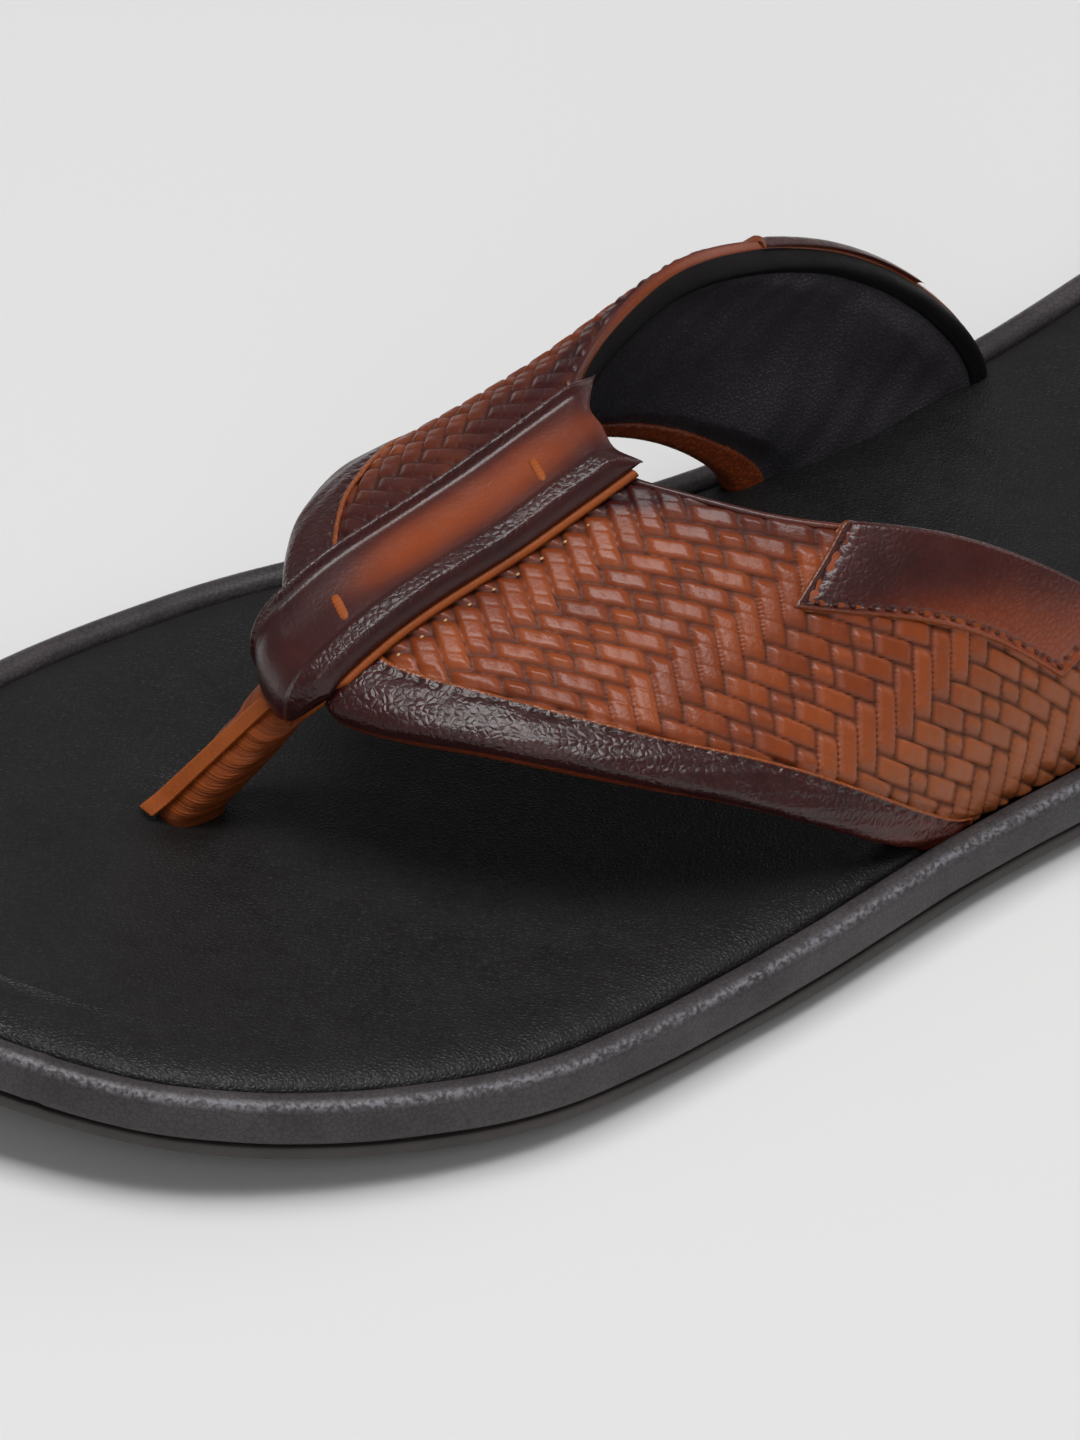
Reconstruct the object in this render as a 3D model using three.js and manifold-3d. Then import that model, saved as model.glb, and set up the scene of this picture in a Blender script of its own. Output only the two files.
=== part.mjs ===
// A men's leather thong sandal for the left foot, in millimetres with +Z up.
// The toe points to -Y and the outer side of the foot faces +X.
// The origin lies on the ground, in the middle of the sole's length and width.
import * as THREE from 'three';
import { mergeVertices } from 'three/addons/utils/BufferGeometryUtils.js';
import Module from 'manifold-3d';

const wasm = await Module();
wasm.setup();

// ---- Overall sizes -------------------------------------------------------------------------
const drawnLength = 288; // the length at which every station along the sandal is written below
const drawnWidth = 98; // the width at which every station across it is written
const soleLength = 288;
const soleWidth = 98;
const toeSpring = 7.8; // how far the toe curls up off the ground
const heelLift = 6; // how much thicker the heel is than the forefoot
const springStart = -50; // the toe curls up in front of this station
const springCurl = 2.2; // the power of the toe's curl
const liftStart = 30; // the heel thickens between these two stations
const liftEnd = 110;

// ---- The layers of the sole ----------------------------------------------------------------
const glueGap = 0.3; // glue line between two touching pieces
const treadBevel = 2.2; // height of the bevel under the outsole's edge
const treadInset = 4.2; // how far the bevel draws in
const outsoleEdge = 1.3; // upright edge above the bevel
const treadDepth = 1.2;
const treadWidth = 2.6;
const treadPitch = 12;
const treadMargin = 9.2; // how far from the sole's edge a groove ends
const treadChevron = 5;
const treadRows = [[-118, -24], [62, 120]]; // the stations between which grooves are cut
const midsoleThickness = 1.8;
const boardThickness = 1.2;
const padThickness = 1.2;
const sockThickness = 0.9;
const wrapThickness = 0.8; // leather that covers the sole's edge
const wrapTurn = 8; // how far it is turned in under the midsole
const rimWidth = 3.5;
const rimHeight = 9.6; // top of the rim above the tread, at the forefoot
const rimCrown = 1.6; // height of the rim's rounded top
const sockEdge = 0.4; // how far inside the rim the sock leather ends
const padEdge = 1.9; // how far inside the rim the foam pad ends

// ---- The strap -----------------------------------------------------------------------------
const panelThickness = 1.2;
const stiffenerThickness = 0.8;
const liningThickness = 0.8;
const borderWidth = 8;
const borderTurn = 3.5; // how far the border is turned in under the front edge
const borderRaise = 0.3;
const seamInset = 1.5; // how far inside its edge a leather is stitched
const patchWidth = 13.5;
const patchThickness = 0.9;
const bandHalfWidth = 7.2;
const bandShift = 0.9; // how far the band lies to the outer side of the crest
const bandThickness = 1.2;
const ridgeHeight = 1.2;
const noseLap = 0.5; // how far the band reaches over the wings' front tips
const collarLap = 2; // how far it reaches behind their rear ends
const stripThickness = 0.7;
const stripMargin = 0.7; // how far the strip under the band stands out beside it
const underlayInset = 1;
const tackRadius = 0.6;
const tackLength = 3;
const noseRadius = 3.6;
const noseRoll = 72; // how far the band's front rolls down, in degrees
const tabLength = 9; // the stiffener's tab that is folded in under the board
const threadRadius = 0.35;

// ---- The toe post --------------------------------------------------------------------------
const postStation = [-13.7, -91.5];
const postTopStation = [-4.8, -78.2];
const postHalf = [2.1, 3.5]; // half the sleeve's thickness and breadth at the footbed
const postFlare = [0.6, 1.2]; // how much each grows towards the top
const sleeveWall = 0.9;
const postFoot = [3.2, 7]; // half the width of the folded foot, and its length
const loopHalfWidth = 1.8; // the flat loop up the front of the post
const loopThickness = 0.9;

// ---- Heights, worked out from the layers -----------------------------------------------------
const outsoleTop = treadBevel + outsoleEdge;
const turnTop = outsoleTop + glueGap + wrapThickness;
const midsoleBottom = outsoleTop + glueGap;
const midsoleTop = midsoleBottom + midsoleThickness;
const boardBottom = midsoleTop + glueGap;
const boardTop = boardBottom + boardThickness;
const padBottom = boardTop + glueGap;
const padTop = padBottom + padThickness;
const sockTop = padTop + glueGap + sockThickness;
const liftFloor = turnTop + glueGap / 2; // the heel's wedge lifts everything above this level
const strapStack = panelThickness + stiffenerThickness + liningThickness + 2 * glueGap;
const slotInset = rimWidth + glueGap; // the strap goes down just inside the rim
const slotDepth = rimHeight - boardBottom;
const tabTop = boardBottom - glueGap;
const tabBottom = tabTop - stiffenerThickness;

const outlineStations = [
  [-8.4, -144], [13, -137.5], [33, -123], [48.3, -93], [49, -58], [45.2, -21], [44, 20],
  [38, 65], [36, 105], [25.3, 134.3], [2, 144], [-21.4, 134.3], [-31.3, 105], [-32.6, 65],
  [-30, 25], [-31.8, -11], [-42.2, -41], [-49, -67.5], [-48.4, -100], [-36, -126.5], [-23.8, -140],
];
// Each wing's edges: the angle down from the crest, in degrees, and the station along the sole.
const frontEdges = {
  1: [[0, -80.5], [12, -83.5], [35, -72.3], [65, -49.5], [90, -31.5]],
  '-1': [[0, -80.5], [12, -78.5], [35, -67], [65, -46], [90, -6]],
};
const rearEdges = {
  1: [[0, -43.5], [12, -42], [35, -29], [65, -1.5], [90, 17]],
  '-1': [[0, -43.5], [12, -41], [35, -25.5], [65, 8.5], [90, 33]],
};
const crestHeights = [
  [-95, 13], [-75, 25.5], [-55, 31.5], [-35, 38.5], [-15, 48.5], [5, 50.5], [40, 47.5],
];
const frontReach = { 1: 48.2, '-1': 35.5 }; // how far each side would spread at the band's front
const sideFullness = { 1: 1.2, '-1': 0.65 }; // below 1 the wing bulges outward, above 1 it slopes
const sides = { lateral: 1, medial: -1 };

// ---- Placing -------------------------------------------------------------------------------
const along = (station) => station * soleLength / drawnLength;
const across = (station) => station * soleWidth / drawnWidth;
const sideSteps = 32; // outline steps down each side of the sole
const outlineSteps = 2 * sideSteps;

// A smooth curve through [x, value] pairs, read at x.
function through(pairs, x) {
  const last = pairs.length - 1;
  const clamped = THREE.MathUtils.clamp(x, pairs[0][0], pairs[last][0]);
  let i = 0;
  while (i < last - 1 && clamped > pairs[i + 1][0]) i += 1;
  const slope = (k) => {
    const a = pairs[Math.max(k - 1, 0)];
    const b = pairs[Math.min(k + 1, last)];
    return (b[1] - a[1]) / (b[0] - a[0]);
  };
  const [x0, y0] = pairs[i];
  const [x1, y1] = pairs[i + 1];
  const span = x1 - x0;
  const t = (clamped - x0) / span;
  const rise = t * t * (3 - 2 * t);
  const start = t * (1 - t) * (1 - t) * span * slope(i);
  const end = t * t * (1 - t) * span * slope(i + 1);
  return y0 + (y1 - y0) * rise + start - end;
}

function springAt(y) {
  const start = along(springStart);
  const share = Math.max(0, (start - y) / (start + soleLength / 2));
  return toeSpring * share ** springCurl;
}

function liftAt(y) {
  return heelLift * THREE.MathUtils.smoothstep(y, along(liftStart), along(liftEnd));
}

// The real height, at y, of a level of the sole drawn flat at the forefoot.
function level(y, height) {
  return height + springAt(y) + (height > liftFloor ? liftAt(y) : 0);
}

function soleOutline() {
  const points = outlineStations.map(([x, y]) => new THREE.Vector3(x, y, 0));
  const curve = new THREE.CatmullRomCurve3(points, true, 'centripetal');
  const sampled = curve.getSpacedPoints(outlineSteps).slice(0, outlineSteps);
  const box = new THREE.Box3().setFromPoints(sampled);
  const centre = box.getCenter(new THREE.Vector3());
  const size = box.getSize(new THREE.Vector3());
  const scale = new THREE.Vector3(soleWidth / size.x, soleLength / size.y, 1);
  return sampled.map((point) => point.sub(centre).multiply(scale));
}

const outline = soleOutline();
const outward = outline.map((point, i) => {
  const before = outline[(i + outlineSteps - 1) % outlineSteps];
  const after = outline[(i + 1) % outlineSteps];
  return new THREE.Vector3(after.y - before.y, before.x - after.x, 0).normalize();
});

// The sole's outline drawn in by an inset.
const ring = (inset) => outline.map((point, i) => point.clone().addScaledVector(outward[i], -inset));
const slotRing = ring(slotInset);

// How far to one side a ring lies at y.
function sideX(side, y, points) {
  const at = (i) => points[side > 0 ? i : (outlineSteps - i) % outlineSteps];
  let i = 0;
  while (i < sideSteps - 1 && at(i + 1).y < y) i += 1;
  const share = THREE.MathUtils.clamp((y - at(i).y) / (at(i + 1).y - at(i).y), 0, 1);
  return THREE.MathUtils.lerp(at(i).x, at(i + 1).x, share);
}

// ---- Solids --------------------------------------------------------------------------------
function closedGeometry(points, triangles) {
  let volume = 0;
  for (const [a, b, c] of triangles) volume += points[a].dot(points[b].clone().cross(points[c]));
  const order = volume > 0 ? triangles : triangles.map(([a, b, c]) => [a, c, b]);
  const geometry = new THREE.BufferGeometry().setFromPoints(points);
  geometry.setIndex(order.flat());
  geometry.computeVertexNormals();
  return geometry;
}

// A layer of the sole. Its profile runs from the bottom's middle out to the edge and back along
// the top, as [inset, height] pairs.
function slab(profile) {
  const points = [];
  for (const [inset, height] of profile) {
    for (const { x, y } of ring(inset)) points.push(new THREE.Vector3(x, y, level(y, height)));
  }
  const n = outlineSteps;
  const triangles = [];
  for (let k = 0; k < profile.length - 1; k += 1) {
    for (let i = 0; i < n; i += 1) {
      const j = (i + 1) % n;
      triangles.push([k * n + i, k * n + j, k * n + n + j]);
      triangles.push([k * n + i, k * n + n + j, k * n + n + i]);
    }
  }
  const top = (profile.length - 1) * n;
  for (let i = 0; i < sideSteps; i += 1) {
    const left = (n - i) % n;
    const next = n - i - 1;
    if (next !== i + 1) triangles.push([top + i, top + i + 1, top + next], [i, next, i + 1]);
    if (left !== i) triangles.push([top + i, top + next, top + left], [i, left, next]);
  }
  return closedGeometry(points, triangles);
}

// A sheet of some thickness. Each section holds an outer and an inner row of points.
function sheet(sections, closed = false) {
  const rows = sections[0].outer.length;
  const loop = 2 * rows;
  const points = sections.flatMap(({ outer, inner }) => [...outer, ...[...inner].reverse()]);
  const triangles = [];
  const spans = closed ? sections.length : sections.length - 1;
  for (let s = 0; s < spans; s += 1) {
    const here = s * loop;
    const next = ((s + 1) % sections.length) * loop;
    for (let j = 0; j < loop; j += 1) {
      const k = (j + 1) % loop;
      triangles.push([here + j, here + k, next + k], [here + j, next + k, next + j]);
    }
  }
  const end = (sections.length - 1) * loop;
  for (let j = 0; j < rows - 1 && !closed; j += 1) {
    const k = loop - 1 - j;
    triangles.push([j + 1, j, k], [j + 1, k, k - 1]);
    triangles.push([end + j, end + j + 1, end + k - 1], [end + j, end + k - 1, end + k]);
  }
  return closedGeometry(points, triangles);
}

function toSolid(geometry) {
  const bare = geometry.clone();
  bare.deleteAttribute('normal');
  bare.deleteAttribute('uv');
  const merged = mergeVertices(bare, 1e-4);
  const vertProperties = new Float32Array(merged.attributes.position.array);
  const triVerts = new Uint32Array(merged.index.array);
  return new wasm.Manifold(new wasm.Mesh({ numProp: 3, vertProperties, triVerts }));
}

function fromSolid(solid) {
  const { vertProperties, triVerts } = solid.getMesh();
  const geometry = new THREE.BufferGeometry();
  geometry.setAttribute('position', new THREE.BufferAttribute(vertProperties, 3));
  geometry.setIndex(new THREE.BufferAttribute(triVerts, 1));
  geometry.computeVertexNormals();
  return geometry;
}

function cut(geometry, tools) {
  let solid = toSolid(geometry);
  for (const tool of tools) solid = solid.subtract(toSolid(tool));
  return fromSolid(solid);
}

function thread(points) {
  const circle = new THREE.Shape();
  circle.absarc(0, 0, threadRadius, 0, 2 * Math.PI);
  const extrudePath = new THREE.CatmullRomCurve3(points);
  const steps = points.length;
  return new THREE.ExtrudeGeometry(circle, { extrudePath, steps, curveSegments: 3 });
}

// ---- The strap's surface ---------------------------------------------------------------------
const crestX = (y) => across(-0.2) + 0.06 * y;
const degrees = (angle) => angle * Math.PI / 180;

// How far a wing spreads from the crest at y: to its slot beside the slot, and in front of it to a
// spread that changes evenly towards the band's front.
function reachAt(side, y) {
  const slotFront = along(frontEdges[side][4][1]);
  const bandTip = along(frontEdges[side][0][1]);
  const station = Math.max(y, slotFront);
  const slotReach = Math.abs(sideX(side, station, slotRing) - crestX(station));
  const share = Math.max(0, (slotFront - y) / (slotFront - bandTip));
  return THREE.MathUtils.lerp(slotReach, across(frontReach[side]), share);
}

function strapPoint(side, angle, y) {
  const reach = reachAt(side, y);
  const height = through(crestHeights, y * drawnLength / soleLength);
  const turned = degrees(Math.min(angle, 90));
  const x = crestX(y) + side * reach * Math.sin(turned);
  const z = level(y, rimHeight) + height * Math.max(Math.cos(turned), 0) ** sideFullness[side];
  return new THREE.Vector3(x, y, z);
}

// A place on a wing's outer face. Down runs from 0 at the crest to 1 at the rim, and on to 2 at the
// underside of the board; back runs from 0 at the front edge to 1 at the rear edge.
function wingPoint(side, down, back) {
  const angle = 90 * Math.min(down, 1);
  const front = along(through(frontEdges[side], angle));
  const rear = along(through(rearEdges[side], angle));
  const point = strapPoint(side, angle, THREE.MathUtils.lerp(front, rear, back));
  point.z -= Math.max(down - 1, 0) * slotDepth;
  return point;
}

function wingNormal(side, down, back) {
  const step = 0.004;
  const low = Math.max(down - step, 0);
  const downward = wingPoint(side, low + 2 * step, back).sub(wingPoint(side, low, back));
  const backward = wingPoint(side, down, back + step).sub(wingPoint(side, down, back - step));
  return downward.cross(backward).multiplyScalar(side).normalize();
}

function wingOffset(side, down, back, out) {
  return wingPoint(side, down, back).addScaledVector(wingNormal(side, down, back), out);
}

// The wing's breadth at one place, which turns millimetres back from an edge into a share.
function breadth(side, down) {
  return wingPoint(side, down, 0).distanceTo(wingPoint(side, down, 1));
}

function evenly(from, to, steps) {
  return Array.from({ length: steps + 1 }, (_, i) => from + (to - from) * i / steps);
}

// Where a wing starts, a glue line away from its twin at the crest.
function wingStart(side) {
  const reach = Math.abs(wingPoint(side, 1, 0).x - wingPoint(side, 0, 0).x);
  return Math.asin(glueGap / 2 / reach) / (Math.PI / 2);
}

const rimBend = [0.95, 0.985, 1]; // extra stations where a wing turns down into its slot
const slotEnd = 2; // the station at the underside of the board
const wingStations = (side) => [...evenly(wingStart(side), 0.9, 16), ...rimBend, slotEnd];

// One layer of a wing, between two depths below its outer face.
function wingLayer(side, stations, span, top, bottom, rows = 6) {
  return stations.map((down) => {
    const [from, to] = span(down);
    const backs = evenly(from, to, rows);
    return {
      outer: backs.map((back) => wingOffset(side, down, back, top)),
      inner: backs.map((back) => wingOffset(side, down, back, bottom)),
    };
  });
}

const stiffenerOuter = -(panelThickness + glueGap);
const stiffenerInner = stiffenerOuter - stiffenerThickness;
const liningOuter = stiffenerInner - glueGap;

function wingPanel(side) {
  const behindBorder = (down) => [(borderWidth + glueGap) / breadth(side, down), 1];
  return sheet(wingLayer(side, wingStations(side), behindBorder, 0, -panelThickness));
}

const edgeRound = 0.9; // rounding of the border's folded edge
const foldEase = 0.4; // rounding inside the fold

// The border's top leaf lies in front of the woven panel; its lower leaf is turned in under the
// front edge, in front of the stiffener and the lining.
function wingBorder(side) {
  const sections = wingStations(side).map((down) => {
    const share = (distance) => distance / breadth(side, down);
    const at = ([back, out]) => wingOffset(side, down, share(back), out);
    const under = -strapStack;
    const raise = borderRaise * (1 - THREE.MathUtils.smoothstep(down, 0.9, 0.98));
    const outer = [[borderWidth, raise], [borderWidth / 2, raise], [edgeRound, 0],
      [0, -edgeRound], [0, under + edgeRound], [edgeRound, under], [borderTurn, under]];
    const inner = [[borderWidth, -panelThickness], [borderWidth / 2, -panelThickness],
      [panelThickness + foldEase, -panelThickness], [panelThickness, -panelThickness - foldEase],
      [panelThickness, under + liningThickness + foldEase],
      [panelThickness + foldEase, under + liningThickness], [borderTurn, under + liningThickness]];
    return { outer: outer.map(at), inner: inner.map(at) };
  });
  return sheet(sections);
}

function wingStiffener(side) {
  const span = (down) => [(panelThickness + glueGap) / breadth(side, down), 1];
  const sections = wingLayer(side, wingStations(side), span, stiffenerOuter, stiffenerInner);
  const turnIn = (outerOut, innerOut) => {
    const backs = evenly(...span(2), 6);
    const place = (back, out, height) => {
      const point = wingOffset(side, 2, back, out);
      point.z = level(point.y, height);
      return point;
    };
    sections.push({
      outer: backs.map((back) => place(back, outerOut, tabBottom)),
      inner: backs.map((back) => place(back, innerOut, tabTop)),
    });
  };
  turnIn(stiffenerOuter, stiffenerInner);
  turnIn(stiffenerOuter - tabLength, stiffenerInner - tabLength);
  return sheet(sections);
}

function wingLining(side) {
  const span = (down) => [(borderTurn + glueGap) / breadth(side, down), 1];
  return sheet(wingLayer(side, wingStations(side), span, liningOuter, -strapStack));
}

const patchReach = { 1: [0.4, 0.765], '-1': [0.6, 0.88] };
const patchSlant = 0.05; // how much further down the patch's front edge starts than its rear edge

function wingPatch(side) {
  const sections = evenly(...patchReach[side], 7).map((down) => {
    const width = patchWidth / breadth(side, down);
    const row = (out) => evenly(0, 1, 3)
      .map((share) => wingOffset(side, down + patchSlant * (1 - share), 1 - width * (1 - share), out));
    return { outer: row(glueGap + patchThickness), inner: row(glueGap) };
  });
  return sheet(sections);
}

function wingThread(side, inFromEdge, out, from, to) {
  const stations = evenly(from, to, 12);
  return thread(stations.map((down) => wingOffset(side, down, inFromEdge(breadth(side, down)), out)));
}

// ---- The band down the middle ------------------------------------------------------------------
// A place on the band: over is millimetres to the side of the crest, out is the height above it.
function crestPlace(y, over, out) {
  const side = over < 0 ? -1 : 1;
  const angle = THREE.MathUtils.radToDeg(Math.asin(Math.abs(over) / reachAt(side, y)));
  const step = 0.5;
  const forward = strapPoint(1, 0, y - step).sub(strapPoint(1, 0, y + step)).normalize();
  const normal = new THREE.Vector3(1, 0, 0).cross(forward).negate().normalize();
  return { point: strapPoint(side, angle, y).addScaledVector(normal, out), normal, forward };
}

const stripInner = borderRaise + glueGap;
const bandInner = stripInner + stripThickness + glueGap;
const bandProfile = [
  [-1, 0.3], [-0.93, 1], [-0.85, 1], [-0.72, 0.25], [-0.35, 0], [0, 0],
  [0.35, 0], [0.72, 0.25], [0.85, 1], [0.93, 1], [1, 0.3],
];
const bandFront = along(frontEdges[1][0][1]) - noseLap;
const bandNose = [[-1, 3.2], [0, -0.5], [1, -2]]; // its front edge, across the band
const bandRear = along(rearEdges[1][0][1]) + collarLap;
const bandCollar = [[-1, 5], [-0.5, 1.5], [0, 0.5], [0.5, -0.5], [1, 0.5]]; // its rear edge

// A place across the band. Share runs from 0 at the rear edge to 1 at the front edge, where the band
// rolls down over the tips of the wings.
function bandPlace(over, halfWidth, share, roll, out) {
  const rear = bandRear + through(bandCollar, over);
  const y = THREE.MathUtils.lerp(rear, bandFront + through(bandNose, over), share);
  const { point, normal, forward } = crestPlace(y, bandShift + over * halfWidth, 0);
  const centre = point.clone().addScaledVector(normal, -noseRadius);
  const turned = normal.clone().multiplyScalar(Math.cos(degrees(roll)));
  turned.addScaledVector(forward, Math.sin(degrees(roll)));
  return centre.addScaledVector(turned, noseRadius + out);
}

function rolledSheet(section) {
  const onTop = evenly(0, 1, 10).map((share) => section(share, 0));
  const nose = [noseRoll / 3, 2 * noseRoll / 3, noseRoll].map((roll) => section(1, roll));
  return sheet([...onTop, ...nose]);
}

function centreBand() {
  return rolledSheet((share, roll) => {
    const row = (height) => bandProfile
      .map(([over, ridge]) => bandPlace(over, bandHalfWidth, share, roll, bandInner + height(ridge)));
    return { outer: row((ridge) => bandThickness + ridge * ridgeHeight), inner: row(() => 0) };
  });
}

// The strip under the band shows as a thin edge on each side of it.
function centreStrip() {
  return rolledSheet((share, roll) => {
    const row = (out) => bandProfile
      .map(([over]) => bandPlace(over, bandHalfWidth + stripMargin, share, roll, out));
    return { outer: row(stripInner + stripThickness), inner: row(stripInner) };
  });
}

function centreUnderlay() {
  const top = -strapStack - glueGap;
  const reach = bandHalfWidth - underlayInset;
  const underlayRow = evenly(-reach, reach, 4);
  const sections = evenly(bandRear - 4, bandFront + 2, 8).map((y) => ({
    outer: underlayRow.map((over) => crestPlace(y, over, top).point),
    inner: underlayRow.map((over) => crestPlace(y, over, top - liningThickness).point),
  }));
  return sheet(sections);
}

function bandThread(side) {
  const over = bandShift + side * (bandHalfWidth + stripMargin + threadRadius + glueGap);
  const out = stripInner + threadRadius;
  return thread(evenly(bandRear - 5, bandFront + 4, 12).map((y) => crestPlace(y, over, out).point));
}

function barTack(y, over, turn) {
  const { point } = crestPlace(along(y), over, bandInner + bandThickness + glueGap + tackRadius);
  const geometry = new THREE.CapsuleGeometry(tackRadius, tackLength, 3, 8);
  geometry.rotateZ(degrees(90 + turn));
  geometry.translate(point.x, point.y, point.z);
  return geometry;
}

// ---- The toe post ----------------------------------------------------------------------------
const postBase = new THREE.Vector2(across(postStation[0]), along(postStation[1]));
const postTop = new THREE.Vector2(across(postTopStation[0]), along(postTopStation[1]));
const cornerCount = 12;

// The underside of the strap's middle above a point, less the glue line.
function underStrap(x, y) {
  const { normal } = crestPlace(y, 0, 0);
  const side = x < crestX(y) ? -1 : 1;
  const share = Math.min(Math.abs(x - crestX(y)) / reachAt(side, y), 1);
  const angle = THREE.MathUtils.radToDeg(Math.asin(share));
  const thickness = strapStack + 2 * glueGap + liningThickness;
  return strapPoint(side, angle, y).z - thickness / normal.z;
}

// One corner of the post's rounded section. Rise runs from 0 at the footbed to 1 under the strap.
function postCorner(i, rise, shrink) {
  const angle = 2 * Math.PI * i / cornerCount;
  const round = (value) => Math.sign(value) * Math.abs(value) ** 0.6;
  const grow = Math.max(rise, 0);
  const x = (postHalf[0] + postFlare[0] * grow - shrink) * round(Math.cos(angle));
  const y = (postHalf[1] + postFlare[1] * grow - shrink) * round(Math.sin(angle));
  const centre = postBase.clone().lerp(postTop, grow);
  const place = new THREE.Vector3(centre.x + x, centre.y + y, 0);
  const floor = level(place.y, sockTop);
  const roof = underStrap(place.x, place.y);
  place.z = rise < 0 ? level(place.y, sockTop + rise * (sockTop - boardBottom)) : 0;
  if (rise >= 0) place.z = THREE.MathUtils.lerp(floor, roof, rise);
  return place;
}

const riseSteps = [-1, 0, 0.15, 0.35, 0.55, 0.75, 0.9, 1];
const loopRises = [0.03, 0.15, 0.3, 0.45, 0.6, 0.75, 0.88];
const sleeveEnd = 0.96; // the sleeve stops just short of the shaft's end

function postSleeve() {
  const corners = Array.from({ length: cornerCount }, (_, i) => i);
  const rises = [...riseSteps.slice(0, -1), sleeveEnd];
  const sections = corners.map((i) => ({
    outer: rises.map((rise) => postCorner(i, rise, 0)),
    inner: rises.map((rise) => postCorner(i, rise, sleeveWall)),
  }));
  return sheet(sections, true);
}

// A short strip of the sole's plan, between two levels that follow the toe's curl.
function plank(centre, halfWidth, from, to, bottom, top) {
  const sections = evenly(from, to, 3).map((y) => {
    const row = (height) => [-halfWidth, halfWidth]
      .map((over) => new THREE.Vector3(centre + over, y, level(y, height)));
    return { outer: row(top), inner: row(bottom) };
  });
  return sheet(sections);
}

function postShaft(shrink, steps) {
  const half = cornerCount / 2;
  const sections = steps.map((rise) => {
    const corner = (i) => postCorner(i % cornerCount, rise, shrink);
    return {
      outer: Array.from({ length: half }, (_, i) => corner(i)),
      inner: Array.from({ length: half }, (_, i) => corner(cornerCount - 1 - i)),
    };
  });
  return sheet(sections);
}

// The flat loop that runs up the front of the post, from the footbed to the band's nose.
function postLoop() {
  const front = (rise) => postCorner(9, rise, -glueGap);
  const sections = loopRises.map((rise) => {
    const { x, y, z } = front(rise);
    const row = (forward) => [-loopHalfWidth, loopHalfWidth]
      .map((over) => new THREE.Vector3(x + over, y - forward, z));
    return { outer: row(loopThickness), inner: row(0) };
  });
  return sheet(sections);
}

const footFrom = postBase.y - postHalf[1] + sleeveWall;
const footTo = postBase.y + postHalf[1] + postFoot[1];

function postCore() {
  const sunk = -1 - (boardBottom - tabBottom - 0.2) / (sockTop - boardBottom);
  const shaft = postShaft(sleeveWall + glueGap, [sunk, ...riseSteps]);
  const foot = plank(postBase.x, postFoot[0], footFrom, footTo, tabBottom, tabTop);
  return fromSolid(toSolid(shaft).add(toSolid(foot)));
}

// ---- The sole's pieces -------------------------------------------------------------------------
const inner = 14; // inset at which a layer's top and bottom become flat

function treadGroove(y) {
  const treadRing = ring(treadMargin);
  const reachLeft = sideX(-1, y, treadRing);
  const reachRight = sideX(1, y, treadRing);
  const sections = evenly(reachLeft, reachRight, 8).map((x) => {
    const share = (x - reachLeft) / (reachRight - reachLeft);
    const chevron = treadChevron * Math.abs(Math.cos(Math.PI * share));
    const row = (height) => [y + chevron, y + chevron + treadWidth]
      .map((place) => new THREE.Vector3(x, place, level(place, height)));
    return { outer: row(-1), inner: row(treadDepth) };
  });
  return sheet(sections);
}

function outsole() {
  const profile = [[inner, 0], [treadInset, 0], [0.4, treadBevel - 0.3], [0.2, treadBevel],
    [0.2, outsoleTop - 0.3], [0.5, outsoleTop], [inner, outsoleTop]];
  const grooves = [];
  for (const [from, to] of treadRows) {
    for (let y = from; y < to; y += treadPitch) grooves.push(treadGroove(along(y)));
  }
  return cut(slab(profile), grooves);
}

function rimWrap() {
  const bulge = (angle) => [rimWidth / 2 * (1 - Math.cos(degrees(angle))), Math.sin(degrees(angle))];
  const bottom = outsoleTop + glueGap;
  const outer = [[wrapTurn, bottom], [2, bottom], [0.6, bottom + 0.1], [0, bottom + 0.7],
    [0, rimHeight - rimCrown]];
  const inside = [[wrapTurn, bottom + wrapThickness], [2, bottom + wrapThickness],
    [wrapThickness + 0.4, bottom + wrapThickness], [wrapThickness, bottom + wrapThickness + 0.4],
    [wrapThickness, rimHeight - rimCrown]];
  const squeeze = 1 - 2 * wrapThickness / rimWidth;
  for (const angle of [45, 90, 135]) {
    const [inset, rise] = bulge(angle);
    outer.push([inset, rimHeight - rimCrown + rimCrown * rise]);
    const innerRise = (rimCrown - wrapThickness) * rise;
    inside.push([wrapThickness + inset * squeeze, rimHeight - rimCrown + innerRise]);
  }
  const innerFace = rimWidth - wrapThickness;
  const foot = boardTop + glueGap;
  outer.push([rimWidth, rimHeight - rimCrown - 0.2], [rimWidth, foot]);
  inside.push([innerFace, rimHeight - rimCrown - 0.2], [innerFace, foot]);
  const rings = [outer, inside].map((path) => path.map(([inset, height]) => ring(inset)
    .map(({ x, y }) => new THREE.Vector3(x, y, level(y, height)))));
  const sections = outline.map((_, i) => ({
    outer: rings[0].map((points) => points[i]),
    inner: rings[1].map((points) => points[i]),
  }));
  return sheet(sections, true);
}

function slotTool(side) {
  const spare = 2 * glueGap;
  const clear = (down) => [-spare / breadth(side, down), 1 + spare / breadth(side, down)];
  return sheet(wingLayer(side, [0.9, 0.95, 0.985, 1, 1.5, 2.6], clear, 1, -strapStack - glueGap));
}

function tabRecess(side) {
  const clear = [-2 * glueGap / breadth(side, 2), 1 + 2 * glueGap / breadth(side, 2)];
  const backs = evenly(...clear, 6);
  const row = (out, height) => backs.map((back) => {
    const point = wingOffset(side, 2, back, out);
    point.z = level(point.y, height);
    return point;
  });
  const low = tabBottom - glueGap;
  const high = boardBottom;
  const start = glueGap;
  const end = stiffenerInner - tabLength - glueGap;
  return sheet([start, end].map((out) => ({ outer: row(out, high), inner: row(out, low) })));
}

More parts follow.
